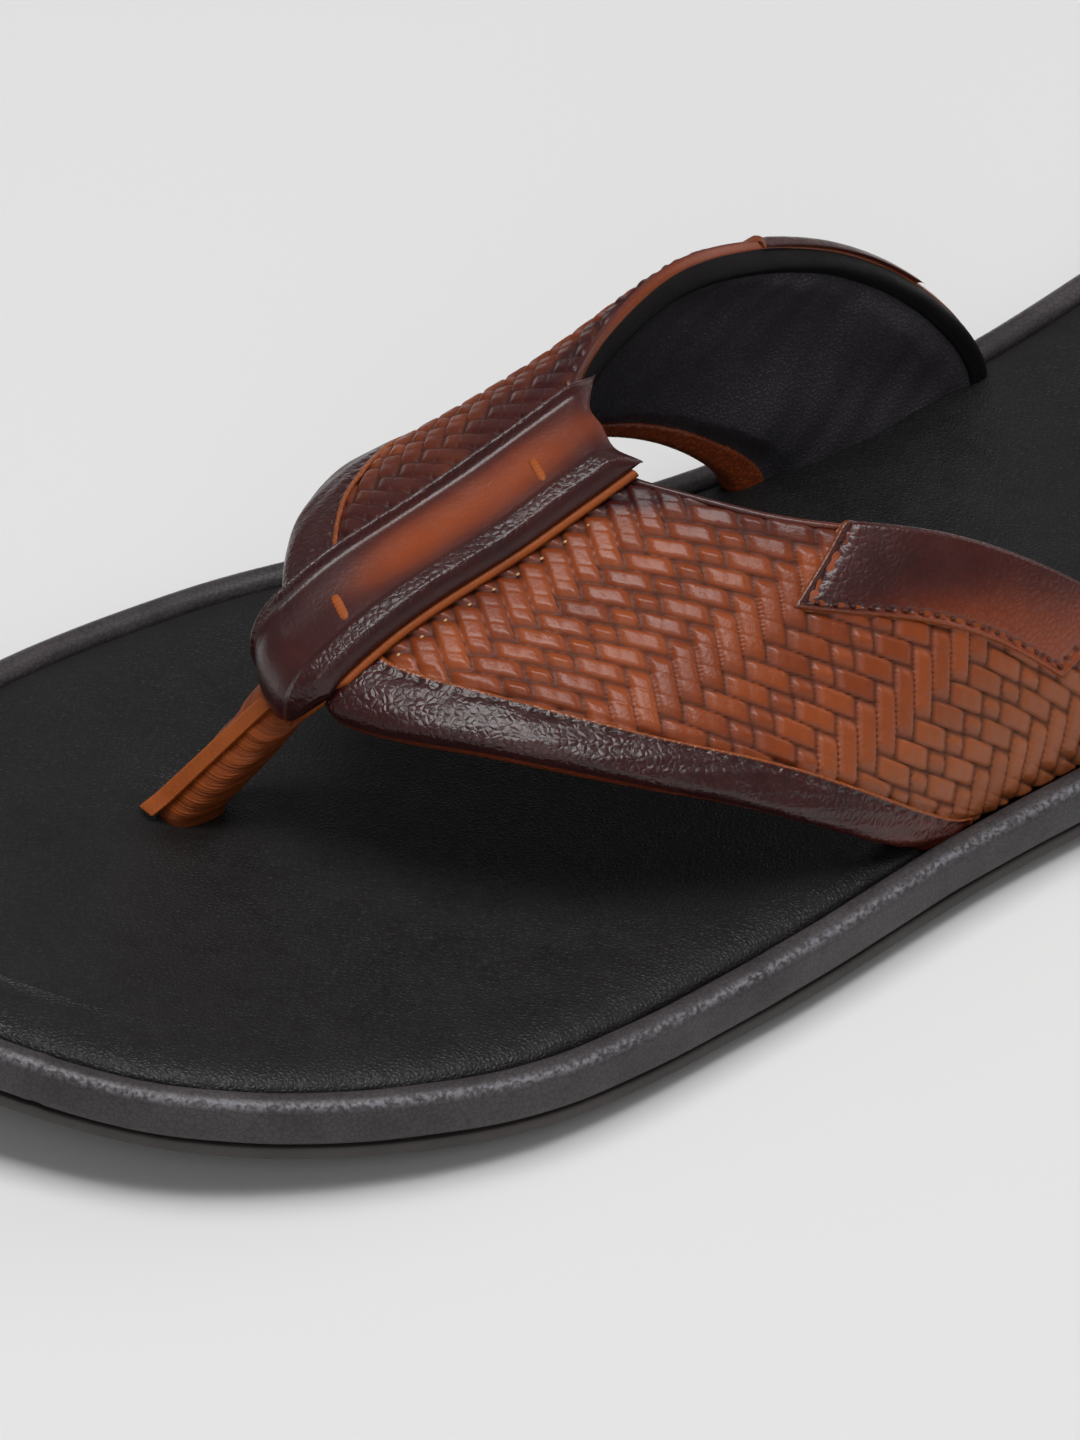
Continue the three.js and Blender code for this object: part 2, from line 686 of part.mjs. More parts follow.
const strapSlots = () => [slotTool(1), slotTool(-1)];
const postHole = () => postShaft(-glueGap, [-1.6, -1, 0, 0.3]);

function midsole() {
  const lip = wrapThickness + glueGap;
  const lipInner = rimWidth - wrapThickness - glueGap;
  const lipTop = rimHeight - wrapThickness - 2 * glueGap;
  const profile = [
    [inner, midsoleBottom], [wrapTurn + glueGap, midsoleBottom],
    [wrapTurn + glueGap, turnTop + glueGap], [lip + glueGap, turnTop + glueGap],
    [lip, turnTop + 2 * glueGap], [lip, lipTop - 0.4], [lip + 0.4, lipTop],
    [lipInner - 0.4, lipTop], [lipInner, lipTop - 0.4], [lipInner, boardTop - 0.2],
    [rimWidth, boardTop - 0.2], [rimWidth, midsoleTop], [inner, midsoleTop],
  ];
  const footRecess = plank(postBase.x, postFoot[0] + glueGap, footFrom - glueGap, footTo + glueGap,
    tabBottom - glueGap, boardBottom);
  return cut(slab(profile), [tabRecess(1), tabRecess(-1), footRecess]);
}

function insoleBoard() {
  const edge = rimWidth + glueGap;
  const profile = [[inner, boardBottom], [edge, boardBottom], [edge, boardTop], [inner, boardTop]];
  return cut(slab(profile), [...strapSlots(), postHole()]);
}

function foamPad() {
  const edge = rimWidth + padEdge;
  const profile = [
    [inner, padBottom], [edge, padBottom], [edge, padBottom + 0.3],
    [edge + 1.5, padTop - 0.25], [edge + 4, padTop], [inner, padTop],
  ];
  return cut(slab(profile), [...strapSlots(), postHole()]);
}

function sockLeather() {
  const edge = rimWidth + sockEdge;
  const under = padTop + glueGap;
  const profile = [[inner, under], [edge + 5, under], [edge + 2.6, under - 0.25], [edge + 1.3, under - 0.9],
    [edge + 1, padBottom], [edge, padBottom], [edge, sockTop - 1.6], [edge + 0.7, sockTop - 0.8],
    [edge + 2.2, sockTop - 0.2], [edge + 5, sockTop], [inner, sockTop]];
  return cut(slab(profile), [...strapSlots(), postHole()]);
}

// ---- The assembly ------------------------------------------------------------------------------
const materials = {
  rubber: { color: 0x2c2726, roughness: 0.85 },
  foam: { color: 0x3a3a3c, roughness: 0.95 },
  board: { color: 0x8a6a48, roughness: 0.9 },
  blackLeather: { color: 0x1d1918, roughness: 0.5 },
  edgeLeather: { color: 0x2b2524, roughness: 0.45 },
  liningLeather: { color: 0x171414, roughness: 0.55 },
  wovenLeather: { color: 0x7d3f20, roughness: 0.45 },
  burgundyLeather: { color: 0x3f1a18, roughness: 0.4 },
  tanLeather: { color: 0x9a5024, roughness: 0.5 },
  canvas: { color: 0xb8ac96, roughness: 0.95 },
  thread: { color: 0x3a1d12, roughness: 0.8 },
};

const sandal = new THREE.Group();

function add(name, geometry, materialName) {
  const material = new THREE.MeshStandardMaterial({ metalness: 0, ...materials[materialName] });
  const mesh = new THREE.Mesh(geometry, material);
  mesh.name = name;
  sandal.add(mesh);
}

function addSole() {
  add('outsole', outsole(), 'rubber');
  add('midsole', midsole(), 'foam');
  add('rim_wrap', rimWrap(), 'edgeLeather');
  add('insole_board', insoleBoard(), 'board');
  add('foam_pad', foamPad(), 'foam');
  add('sock_leather', sockLeather(), 'blackLeather');
}

function addWing(name, side) {
  const threadOut = borderRaise + glueGap + threadRadius;
  const patchOut = 2 * glueGap + patchThickness + threadRadius;
  const borderSeam = (span) => (borderWidth - seamInset) / span;
  const patchSeam = (span) => 1 - (patchWidth - seamInset) / span;
  add(`wing_panel_${name}`, wingPanel(side), 'wovenLeather');
  add(`wing_border_${name}`, wingBorder(side), 'burgundyLeather');
  add(`wing_stiffener_${name}`, wingStiffener(side), 'canvas');
  add(`wing_lining_${name}`, wingLining(side), 'liningLeather');
  add(`wing_patch_${name}`, wingPatch(side), 'burgundyLeather');
  add(`border_thread_${name}`, wingThread(side, borderSeam, threadOut, 0.2, 0.97), 'thread');
  const [from, to] = patchReach[side];
  const start = from + patchSlant + 0.02;
  add(`patch_thread_${name}`, wingThread(side, patchSeam, patchOut, start, to), 'thread');
  add(`band_thread_${name}`, bandThread(side), 'thread');
}

function addMiddle() {
  add('centre_band', centreBand(), 'burgundyLeather');
  add('centre_strip', centreStrip(), 'tanLeather');
  add('centre_underlay', centreUnderlay(), 'liningLeather');
  add('bar_tack_front', barTack(-76, 1.5, -16), 'tanLeather');
  add('bar_tack_rear', barTack(-50, 1.5, -16), 'tanLeather');
  add('toe_post_core', postCore(), 'tanLeather');
  add('toe_post_sleeve', postSleeve(), 'tanLeather');
  add('toe_post_loop', postLoop(), 'tanLeather');
}

addSole();
for (const [name, side] of Object.entries(sides)) addWing(name, side);
addMiddle();

export default sandal;
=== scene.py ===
"""A men's leather thong sandal with woven wings, built piece by piece on its CAD frame."""
import math
import bmesh
import bpy
import numpy as np
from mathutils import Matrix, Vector


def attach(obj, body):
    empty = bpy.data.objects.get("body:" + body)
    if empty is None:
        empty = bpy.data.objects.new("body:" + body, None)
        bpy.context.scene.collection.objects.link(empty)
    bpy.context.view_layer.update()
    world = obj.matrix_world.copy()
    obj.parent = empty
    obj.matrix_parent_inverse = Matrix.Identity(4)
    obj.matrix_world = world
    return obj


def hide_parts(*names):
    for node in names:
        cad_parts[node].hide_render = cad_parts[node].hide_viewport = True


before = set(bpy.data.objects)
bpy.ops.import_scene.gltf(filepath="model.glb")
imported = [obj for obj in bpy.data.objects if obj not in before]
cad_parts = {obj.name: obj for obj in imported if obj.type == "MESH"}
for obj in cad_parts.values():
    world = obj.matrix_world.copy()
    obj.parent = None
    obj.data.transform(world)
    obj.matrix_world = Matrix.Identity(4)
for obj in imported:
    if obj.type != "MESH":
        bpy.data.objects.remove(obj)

bl_info = {
    "name": "Woven Thong Sandal",
    "version": (1, 0, 0),
    "blender": (4, 5, 0),
    "location": "View3D > Sidebar > Sandal",
    "description": "Builds a leather thong sandal with woven wings on a padded sole",
    "category": "Add Mesh",
}

MM = 0.001

# ---- Sizes in millimetres, the frame's own except where a comment says more -------------------
SOLE_LENGTH, SOLE_WIDTH = 288, 98
TOE_SPRING, SPRING_START, SPRING_CURL = 7.8, -50, 2.2
HEEL_LIFT, LIFT_START, LIFT_END, LIFT_FLOOR = 6, 30, 110, 4.75
OUTSOLE_TOP, RIM_WIDTH, RIM_HEIGHT, RIM_CROWN = 3.5, 3.5, 9.6, 1.6
SOCK_TOP, SOCK_EDGE = 9.8, 3.9
FOOTBED_UNDER = 7.2  # the footbed's piece reaches down past the foam pad
SLOT_INSET, SLOT_DEPTH = 3.8, 3.7
STRAP_STACK = 3.4  # panel, stiffener and lining together
PANEL, LINING = 1.2, 0.8
BORDER_WIDTH, SEAM_INSET = 8, 1.5
BORDER_SEAM = BORDER_WIDTH - 1.2  # from a wing's front edge back to the border's seam
PATCH_WIDTH, PATCH_SLANT = 13.5, 0.05
PATCH_PITCH, BAND_PITCH = 2.0, 3.1  # between two stitches
PATCH_REACH = {1: (0.4, 0.765), -1: (0.6, 0.88)}
BAND_HALF, BAND_SHIFT, BAND_THICKNESS = 7.2, 0.9, 1.2
STRIP_INNER, STRIP_THICKNESS, STRIP_MARGIN = 0.6, 0.7, 0.45  # a narrower margin than the frame's
BAND_INNER = STRIP_INNER + STRIP_THICKNESS + 0.3
BAND_FRONT, BAND_REAR = -81, -41.5
NOSE_RADIUS, NOSE_ROLL = 3.6, 72
# The post stands straighter and a little broader than the frame's.
POST_BASE, POST_TOP = np.array([-12.9, -90.6]), np.array([-6.2, -79.8])
POST_HALF, POST_FLARE = (2.7, 3.8), (1.0, 1.2)
OUTLINE = [
    (-8.4, -144), (13, -137.5), (33, -123), (48.3, -93), (49, -58), (45.2, -21), (44, 20),
    (38, 65), (36, 105), (25.3, 134.3), (2, 144), (-21.4, 134.3), (-31.3, 105), (-32.6, 65),
    (-30, 25), (-31.8, -11), (-42.2, -41), (-49, -67.5), (-48.4, -100), (-36, -126.5),
    (-23.8, -140),
]
FRONT_EDGE = {
    1: [(0, -80.5), (12, -83.5), (35, -72.3), (65, -49.5), (90, -31.5)],
    -1: [(0, -80.5), (12, -78.5), (35, -67), (65, -46), (90, -6)],
}
REAR_EDGE = {
    1: [(0, -43.5), (12, -42), (35, -29), (65, -1.5), (90, 17)],
    -1: [(0, -43.5), (12, -41), (35, -25.5), (65, 8.5), (90, 33)],
}
CREST = [(-95, 13), (-75, 25.5), (-55, 31.5), (-35, 38.5), (-15, 48.5), (5, 50.5), (40, 47.5)]
FRONT_REACH = {1: 48.2, -1: 35.5}
FULLNESS = {1: 1.2, -1: 0.65}
# The nose's outer end lies further back than the frame's.
BAND_NOSE = [(-1, 3.2), (-0.4, 0.4), (0.2, -0.8), (0.6, -0.5), (1, 1.2)]
BAND_COLLAR = [(-1, 5), (-0.5, 1.5), (0, 0.5), (0.5, -0.5), (1, 0.5)]
SIDES = {"lateral": 1, "medial": -1}
RING_STEPS = 900  # points round the sole
TREAD_ROWS, TREAD_PITCH, TREAD_WIDTH, TREAD_DEPTH = ((-118, -24), (62, 120)), 12, 2.6, 1.2
TREAD_EDGE, CHEVRON = 9.2, 5  # the plain edge round the tread, and how far its bars point
WING_TOP, WING_FOOT = 0.004, 1.25  # down a wing, from beside the crest to inside the slot


# ---- Placing ----------------------------------------------------------------------------------
def smooth(x, low, high):
    t = np.clip((x - low) / (high - low), 0, 1)
    return t * t * (3 - 2 * t)


def through(pairs, x):
    """A smooth curve through (x, value) pairs, read at x."""
    xs, values = np.array(pairs, float).T
    x = np.clip(x, xs[0], xs[-1])
    i = np.clip(np.searchsorted(xs, x, "right") - 1, 0, len(xs) - 2)
    k = np.arange(len(xs))
    before, after = np.maximum(k - 1, 0), np.minimum(k + 1, len(xs) - 1)
    slopes = (values[after] - values[before]) / (xs[after] - xs[before])
    span = xs[i + 1] - xs[i]
    t = (x - xs[i]) / span
    ends = t * (1 - t) ** 2 * slopes[i] - t * t * (1 - t) * slopes[i + 1]
    return values[i] + (values[i + 1] - values[i]) * t * t * (3 - 2 * t) + span * ends


def level(y, height):
    """The real height, at y, of a level of the sole drawn flat at the forefoot."""
    share = np.clip((SPRING_START - y) / (SPRING_START + SOLE_LENGTH / 2), 0, None)
    lift = np.where(np.asarray(height) > LIFT_FLOOR, HEEL_LIFT, 0)
    return height + TOE_SPRING * share**SPRING_CURL + lift * smooth(y, LIFT_START, LIFT_END)


def spaced(points, count, closed=False):
    """Points spread evenly along a path."""
    path = np.vstack([points, points[:1]]) if closed else np.asarray(points, float)
    walk = np.concatenate([[0], np.cumsum(np.linalg.norm(np.diff(path, axis=0), axis=1))])
    at = np.linspace(0, walk[-1], count + 1)[:-1] if closed else np.linspace(0, walk[-1], count)
    return np.stack([np.interp(at, walk, column) for column in path.T], -1)


def sole_outline():
    stations = np.array(OUTLINE, float)
    n = len(stations)
    arcs = []
    for k in range(n):
        p = [stations[(k + j - 1) % n] for j in range(4)]
        knots = np.cumsum([0] + [np.linalg.norm(p[j + 1] - p[j]) ** 0.5 for j in range(3)])
        t = np.linspace(knots[1], knots[2], 61)[:-1, None]

        def blend(a, b, low, high):
            return ((high - t) * a + (t - low) * b) / (high - low)

        a = [blend(p[j], p[j + 1], knots[j], knots[j + 1]) for j in range(3)]
        b = [blend(a[j], a[j + 1], knots[j], knots[j + 2]) for j in range(2)]
        arcs.append(blend(b[0], b[1], knots[1], knots[2]))
    even = spaced(np.concatenate(arcs), RING_STEPS, closed=True)
    low, high = even.min(0), even.max(0)
    return (even - (low + high) / 2) * np.array([SOLE_WIDTH, SOLE_LENGTH]) / (high - low)


OUTER_RING = sole_outline()
AHEAD = np.roll(OUTER_RING, -1, 0) - np.roll(OUTER_RING, 1, 0)
OUTWARD = np.stack([AHEAD[:, 1], -AHEAD[:, 0]], -1)
OUTWARD /= np.linalg.norm(OUTWARD, axis=1)[:, None]


def ring(inset):
    """The sole's outline drawn in by an inset, which may differ from point to point."""
    return OUTER_RING - OUTWARD * np.reshape(inset, (-1, 1))


def side_x(points, side, y):
    """How far out a ring of the sole lies at some station on one of its sides."""
    toe, heel = np.argmin(points[:, 1]), np.argmax(points[:, 1])
    turned = np.roll(points, -toe, 0)
    split = (heel - toe) % len(points)
    half = turned[: split + 1] if side > 0 else np.vstack([turned[split:], turned[:1]])[::-1]
    return np.interp(y, half[:, 1], half[:, 0])


SLOT_RING = ring(SLOT_INSET)
TREAD_RING = ring(TREAD_EDGE)
RING_WALK = np.arange(RING_STEPS) * 650 / RING_STEPS  # rough millimetres round the outline


def crest_x(y):
    """The line over which the two wings meet."""
    return -0.2 + 0.06 * y


def reach_at(side, y):
    """How far a wing's foot lies from the crest."""
    slot_front, band_tip = FRONT_EDGE[side][4][1], FRONT_EDGE[side][0][1]
    station = np.maximum(y, slot_front)
    slot_reach = np.abs(side_x(SLOT_RING, side, station) - crest_x(station))
    share = np.clip((slot_front - y) / (slot_front - band_tip), 0, None)
    return slot_reach + (FRONT_REACH[side] - slot_reach) * share


def strap_point(side, angle, y):
    """A place on the strap's face, at 0 degrees on the crest and at 90 on the rim."""
    turned = np.radians(np.minimum(angle, 90))
    x = crest_x(y) + side * reach_at(side, y) * np.sin(turned)
    rise = through(CREST, y) * np.maximum(np.cos(turned), 0) ** FULLNESS[side]
    return np.stack(np.broadcast_arrays(x, y, level(y, RIM_HEIGHT) + rise), -1)


def wing_point(side, down, back):
    """Down runs from 0 at the crest to 1 at the rim, back from 0 at the front edge to 1."""
    angle = 90 * np.minimum(down, 1)
    front = through(FRONT_EDGE[side], angle) + 0.9 * smooth(down, 0.94, 1.03) ** 2
    rear = through(REAR_EDGE[side], angle)
    point = strap_point(side, angle, front + (rear - front) * back)
    point[..., 2] -= np.maximum(down - 1, 0) * SLOT_DEPTH
    return point


def wing_normal(side, down, back):
    step = 0.004
    low = np.maximum(down - step, 0)
    downward = wing_point(side, low + 2 * step, back) - wing_point(side, low, back)
    backward = wing_point(side, down, back + step) - wing_point(side, down, back - step)
    normal = np.cross(downward, backward) * side
    return normal / np.linalg.norm(normal, axis=-1, keepdims=True)


def wing_offset(side, down, back, out):
    down, back, out = np.broadcast_arrays(down, back, out)
    return wing_point(side, down, back) + wing_normal(side, down, back) * out[..., None]


def breadth(side, down):
    return np.linalg.norm(wing_point(side, down, 1.0) - wing_point(side, down, 0.0), axis=-1)


def wing_downs(side, start, end, count):
    """Stations down a wing, evenly spaced over the leather."""
    down = np.linspace(start, end, 600)
    path = wing_point(side, down, 0.4)
    walk = np.concatenate([[0], np.cumsum(np.linalg.norm(np.diff(path, axis=0), axis=1))])
    return np.interp(np.linspace(0, walk[-1], count), walk, down)


def crest_place(y, over, out):
    """A place over the crest: over is millimetres to its side, out the height above it."""
    y, over, out = np.broadcast_arrays(y, over, out)
    both = []
    for side in (1, -1):
        share = np.clip(np.abs(over) / reach_at(side, y), 0, 1)
        both.append(strap_point(side, np.degrees(np.arcsin(share)), y))
    point = np.where(over[..., None] < 0, both[1], both[0])
    forward = strap_point(1, 0.0, y - 0.5) - strap_point(1, 0.0, y + 0.5)
    forward /= np.linalg.norm(forward, axis=-1, keepdims=True)
    normal = -np.cross([1.0, 0, 0], forward)
    normal /= np.linalg.norm(normal, axis=-1, keepdims=True)
    return point + normal * out[..., None], normal, forward


def band_place(over, half, share, roll, out):
    """A place on the band, at shares of its half width and length, rolled round its nose."""
    over, share, roll, out = np.broadcast_arrays(over, share, roll, out)
    rear = BAND_REAR + through(BAND_COLLAR, over)
    y = rear + (BAND_FRONT + through(BAND_NOSE, over) - rear) * share
    point, normal, forward = crest_place(y, BAND_SHIFT + over * half, 0.0)
    turn = np.radians(roll)[..., None]
    turned = normal * np.cos(turn) + forward * np.sin(turn)
    return point - normal * NOSE_RADIUS + turned * (NOSE_RADIUS + out)[..., None]


def under_strap(x, y):
    """The height of the strap's underside over a place on the sole."""
    _, normal, _ = crest_place(y, 0.0, 0.0)
    point, _, _ = crest_place(y, x - crest_x(y), 0.0)
    return point[..., 2] - (STRAP_STACK + 1.4) / normal[..., 2]


def ripple(*terms):
    """A gentle uneven wave, the sum of sines given as (phase, size)."""
    return sum(size * np.sin(phase) for phase, size in terms)


def scatter(a, b):
    """A fixed random share for each pair of whole numbers."""
    return np.mod(np.sin(a * 12.9898 + b * 78.233) * 43758.5453, 1)


# ---- Meshes -----------------------------------------------------------------------------------
def solid(name, points, faces, marks=None):
    """A closed mesh with its faces outward, and named values on its points."""
    mesh = bpy.data.meshes.new(name)
    mesh.from_pydata((np.asarray(points) * MM).tolist(), [], faces)
    for label, values in (marks or {}).items():
        layer = mesh.attributes.new(label, "FLOAT", "POINT")
        layer.data.foreach_set("value", np.ascontiguousarray(values, np.float32).ravel())
    form = bmesh.new()
    form.from_mesh(mesh)
    bmesh.ops.recalc_face_normals(form, faces=form.faces)
    if form.calc_volume(signed=True) < 0:
        bmesh.ops.reverse_faces(form, faces=form.faces)
    form.to_mesh(mesh)
    form.free()
    mesh.shade_smooth()
    piece = bpy.data.objects.new(name, mesh)
    bpy.context.scene.collection.objects.link(piece)
    return piece


def quads(rows, columns, closed_rows=False, closed_columns=False):
    """The faces of a grid of points, closed on itself where asked for."""
    i = np.arange(rows if closed_rows else rows - 1)[:, None]
    j = np.arange(columns if closed_columns else columns - 1)[None, :]
    k, m = (i + 1) % rows, (j + 1) % columns
    ends = (i, j), (i, m), (k, m), (k, j)
    corners = np.broadcast_arrays(*[row * columns + column for row, column in ends])
    return np.stack(corners, -1).reshape(-1, 4).tolist()


def tube(name, rows, marks=None, round_trip=False):
    """Closed sections joined one after the other, with flat ends or going all the way round."""
    count, around = rows.shape[:2]
    faces = quads(count, around, round_trip, True)
    if not round_trip:
        faces += [list(range(around))[::-1], list(range((count - 1) * around, count * around))]
    spread = {label: np.broadcast_to(v, (count, around)) for label, v in (marks or {}).items()}
    return solid(name, rows.reshape(-1, 3), faces, spread)


def plate(name, shown, hidden, marks=None, step=24):
    """A closed sheet with a fine face that shows and a plainer face behind it."""
    rows, columns = shown.shape[:2]
    top = np.arange(rows * columns).reshape(rows, columns)
    rim = np.concatenate([top[0], top[1:, -1], top[-1, -2::-1], top[-2:0:-1, 0]])
    stops = np.unique(np.append(np.arange(0, columns, step), columns - 1))
    inner = top[1:-1][:, stops[1:-1]].ravel()
    source = np.concatenate([top.ravel(), rim, inner])
    points = np.vstack([shown.reshape(-1, 3), hidden.reshape(-1, 3)[np.append(rim, inner)]])
    below = dict(zip(source[rows * columns:].tolist(), range(rows * columns, len(source))))
    low = [below[k] for k in rim.tolist()]
    faces = quads(rows, columns)
    turn = len(rim)
    faces += [[rim[k], low[k], low[(k + 1) % turn], rim[(k + 1) % turn]] for k in range(turn)]
    for a, b in zip(stops[:-1], stops[1:]):
        for i in range(1, rows - 2):
            cell = top[i, a], top[i + 1, a], top[i + 1, b], top[i, b]
            faces.append([below[k] for k in cell][::-1])
        for edge, near in ((0, 1), (rows - 1, rows - 2)):
            loop = [below[k] for k in (*top[edge, a : b + 1], top[near, b], top[near, a])]
            faces.append(loop if edge else loop[::-1])
    spread = {}
    for label, values in (marks or {}).items():
        spread[label] = np.broadcast_to(values, top.shape).ravel()[source]
    return solid(name, points, [[int(v) for v in face] for face in faces], spread)


def capped(points, faces, first, height, columns, flip=False):
    """Closes a ring of the sole with a fine grid whose rows cross from side to side."""
    n = RING_STEPS
    edge = np.array(points[first : first + n])
    half = n // 2
    shares = np.linspace(0, 1, columns + 1)[1:-1]
    ids = np.zeros((half + 1, columns + 1), int)
    grown = [points]
    count = len(points)
    for i in range(half + 1):
        left = (n - i) % n
        ids[i, 0], ids[i, -1] = first + i, first + left
        if i in (0, half):
            ids[i, 1:-1] = first + i
            continue
        across = edge[i] + (edge[left] - edge[i]) * shares[:, None]
        across[:, 2] = height(across[:, 0], across[:, 1])
        ids[i, 1:-1] = np.arange(count, count + columns - 1)
        count += columns - 1
        grown.append(across)
    for i in range(half):
        for j in range(columns):
            face = list(dict.fromkeys([ids[i, j], ids[i + 1, j], ids[i + 1, j + 1], ids[i, j + 1]]))
            if len(face) > 2:
                faces.append([int(v) for v in (face[::-1] if flip else face)])
    return np.vstack(grown)


def finish_piece(piece, material, slot, *nodes):
    piece.data.materials.clear()
    piece.data.materials.append(material)
    if nodes:
        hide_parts(*nodes)
    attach(piece, "root")


# ---- Settings ---------------------------------------------------------------------------------
def tone(code):
    """A colour as Blender keeps it, from its usual six-figure code."""
    share = [int(code[k : k + 2], 16) / 255 for k in (0, 2, 4)]
    return (*[c / 12.92 if c < 0.04 else ((c + 0.055) / 1.055) ** 2.4 for c in share], 1)


def size_setting(label, note, value):
    return bpy.props.FloatProperty(
        name=label, description=note, default=value * MM, min=0, precision=5, unit="LENGTH"
    )


def colour_setting(label, note, code):
    return bpy.props.FloatVectorProperty(
        name=label, description=note, default=tone(code), size=4, min=0, max=1, subtype="COLOR"
    )


class SandalSizes(bpy.types.PropertyGroup):
    """Sizes of the sandal's fine work"""

    wide_strip: size_setting("Wide strip", "Width of the strips that run down a wing", 2.7)
    narrow_strip: size_setting("Narrow strip", "Width of the strips that cross them", 2.2)
    weave_relief: size_setting("Weave relief", "Height of a strip over its crevice", 0.72)
    stitch_pitch: size_setting("Stitch pitch", "Distance between two stitches of a seam", 2.2)
    stitch_radius: size_setting("Thread radius", "Half the thickness of the thread", 0.24)
    grain: size_setting("Grain", "Size of a pebble of the border leather", 0.85)
    fine_grain: size_setting("Fine grain", "Size of a pore of the footbed leather", 0.55)


class SandalColours(bpy.types.PropertyGroup):
    """Colours of the sandal's leathers"""

    weave_light: colour_setting("Weave, light", "Raised middle of a woven strip", "9a4a20")
    weave_deep: colour_setting("Weave, deep", "Shaded flank of a woven strip", "6a2a10")
    burnish: colour_setting("Burnish", "Burgundy polish towards the edges", "3a1212")
    plum: colour_setting("Plum", "Darkest part of the border leather", "1f0709")
    burgundy: colour_setting("Burgundy", "Body of the border leather", "421210")
    glow: colour_setting("Glow", "Orange-brown middle of the centre band", "8c3c14")
    tan: colour_setting("Tan", "Cut edges and the loop of the toe post", "9c4f1f")
    footbed: colour_setting("Footbed", "Leather under the foot", "131212")
    rim: colour_setting("Rim", "Leather round the sole's edge", "2e2a2b")
    rubber: colour_setting("Rubber", "The outsole", "2f2b2a")
    lining: colour_setting("Lining", "Leather inside the wings", "39363b")
    thread: colour_setting("Thread", "Thread of the wings' seams", "3a1a12")
    pale_thread: colour_setting("Pale thread", "Thread beside the centre band", "b98a5c")


# ---- Material building ------------------------------------------------------------------------
def put(tree, kind, sockets=None, **settings):
    """A new node, with its sockets linked or set."""
    made = tree.nodes.new(kind)
    for key, value in settings.items():
        setattr(made, key, value)
    for key, value in (sockets or {}).items():
        if isinstance(value, bpy.types.NodeSocket):
            tree.links.new(value, made.inputs[key])
        else:
            made.inputs[key].default_value = value
    return made


def maths(tree, operation, *values, clamp=False):
    sockets = dict(enumerate(values))
    return put(tree, "ShaderNodeMath", sockets, operation=operation, use_clamp=clamp).outputs[0]


def mixed(tree, share, low, high, blend="MIX"):
    sockets = {0: share, 6: low, 7: high}
    return put(tree, "ShaderNodeMix", sockets, data_type="RGBA", blend_type=blend).outputs[2]


def ranged(tree, value, low, high, to_low=0.0, to_high=1.0):
    sockets = {0: value, 1: low, 2: high, 3: to_low, 4: to_high}
    return put(tree, "ShaderNodeMapRange", sockets).outputs[0]


def mark(tree, name):
    return put(tree, "ShaderNodeAttribute", attribute_name=name).outputs["Fac"]


def group(name, inputs, outputs):
    tree = bpy.data.node_groups.new(name, "ShaderNodeTree")
    for label, kind, value in inputs:
        socket = tree.interface.new_socket(label, in_out="INPUT", socket_type=kind)
        socket.default_value = value
    for label, kind in outputs:
        tree.interface.new_socket(label, in_out="OUTPUT", socket_type=kind)
    return tree, put(tree, "NodeGroupInput").outputs, put(tree, "NodeGroupOutput")


FLOAT, COLOUR = "NodeSocketFloat", "NodeSocketColor"


def pebble_group():
    """Pebbled leather grain: rounded cells of one size with creases between them."""
    known = bpy.data.node_groups.get("pebble_grain")
    if known:
        return known
    tree, given, out = group(
        "pebble_grain",
        [("Cell", FLOAT, 0.7 * MM), ("Unevenness", FLOAT, 0.5)],
        [("Height", FLOAT), ("Crease", FLOAT)],
    )
    place = put(tree, "ShaderNodeTexCoord").outputs["Object"]
    scale = maths(tree, "DIVIDE", 1.0, given["Cell"])
    warp = put(tree, "ShaderNodeTexNoise", {"Vector": place, "Scale": 900, "Detail": 2})
    sway = {0: warp.outputs["Color"], "Scale": 0.0005}
    push = put(tree, "ShaderNodeVectorMath", sway, operation="SCALE")
    shifted = put(tree, "ShaderNodeVectorMath", {0: place, 1: push.outputs[0]}).outputs[0]
    spread = {"Vector": shifted, "Scale": scale}
    pattern = put(tree, "ShaderNodeTexVoronoi", spread, feature="DISTANCE_TO_EDGE")
    cells = pattern.outputs["Distance"]
    broad = put(tree, "ShaderNodeTexNoise", {"Vector": place, "Scale": 420, "Detail": 3}).outputs[0]
    dome = ranged(tree, cells, 0.0, 0.4)
    uneven = maths(tree, "MULTIPLY", broad, given["Unevenness"])
    tree.links.new(maths(tree, "ADD", dome, uneven), out.inputs["Height"])
    tree.links.new(ranged(tree, cells, 0.02, 0.13, 1.0, 0.0), out.inputs["Crease"])
    return tree


def mottle_group():
    """Uneven dye: a colour that drifts between two tones, with painted shade darkening it in
    creases.
    """
    known = bpy.data.node_groups.get("mottled_dye_and_crease_shade")
    if known:
        return known
    tree, given, out = group(
        "mottled_dye_and_crease_shade",
        [("Deep", COLOUR, (0, 0, 0, 1)), ("Light", COLOUR, (1, 1, 1, 1)), ("Share", FLOAT, 0.5),
         ("Drift", FLOAT, 0.4), ("Crease", FLOAT, 0.0), ("Painted crease shade", FLOAT, 0.5)],
        [("Color", COLOUR)],
    )
    place = put(tree, "ShaderNodeTexCoord").outputs["Object"]
    patchy = {"Vector": place, "Scale": 95, "Detail": 5, "Roughness": 0.62}
    cloud = put(tree, "ShaderNodeTexNoise", patchy)
    centred = maths(tree, "SUBTRACT", cloud.outputs[0], 0.5)
    drift = maths(tree, "MULTIPLY", centred, given["Drift"])
    share = maths(tree, "MULTIPLY_ADD", drift, 2.0, given["Share"], clamp=True)
    body = mixed(tree, share, given["Deep"], given["Light"])
    # Painted shade: the colour is pulled towards near black in creases and holes.
    shade = maths(tree, "MULTIPLY", given["Crease"], given["Painted crease shade"], clamp=True)
    tree.links.new(mixed(tree, shade, body, (0.006, 0.003, 0.003, 1)), out.inputs["Color"])
    return tree


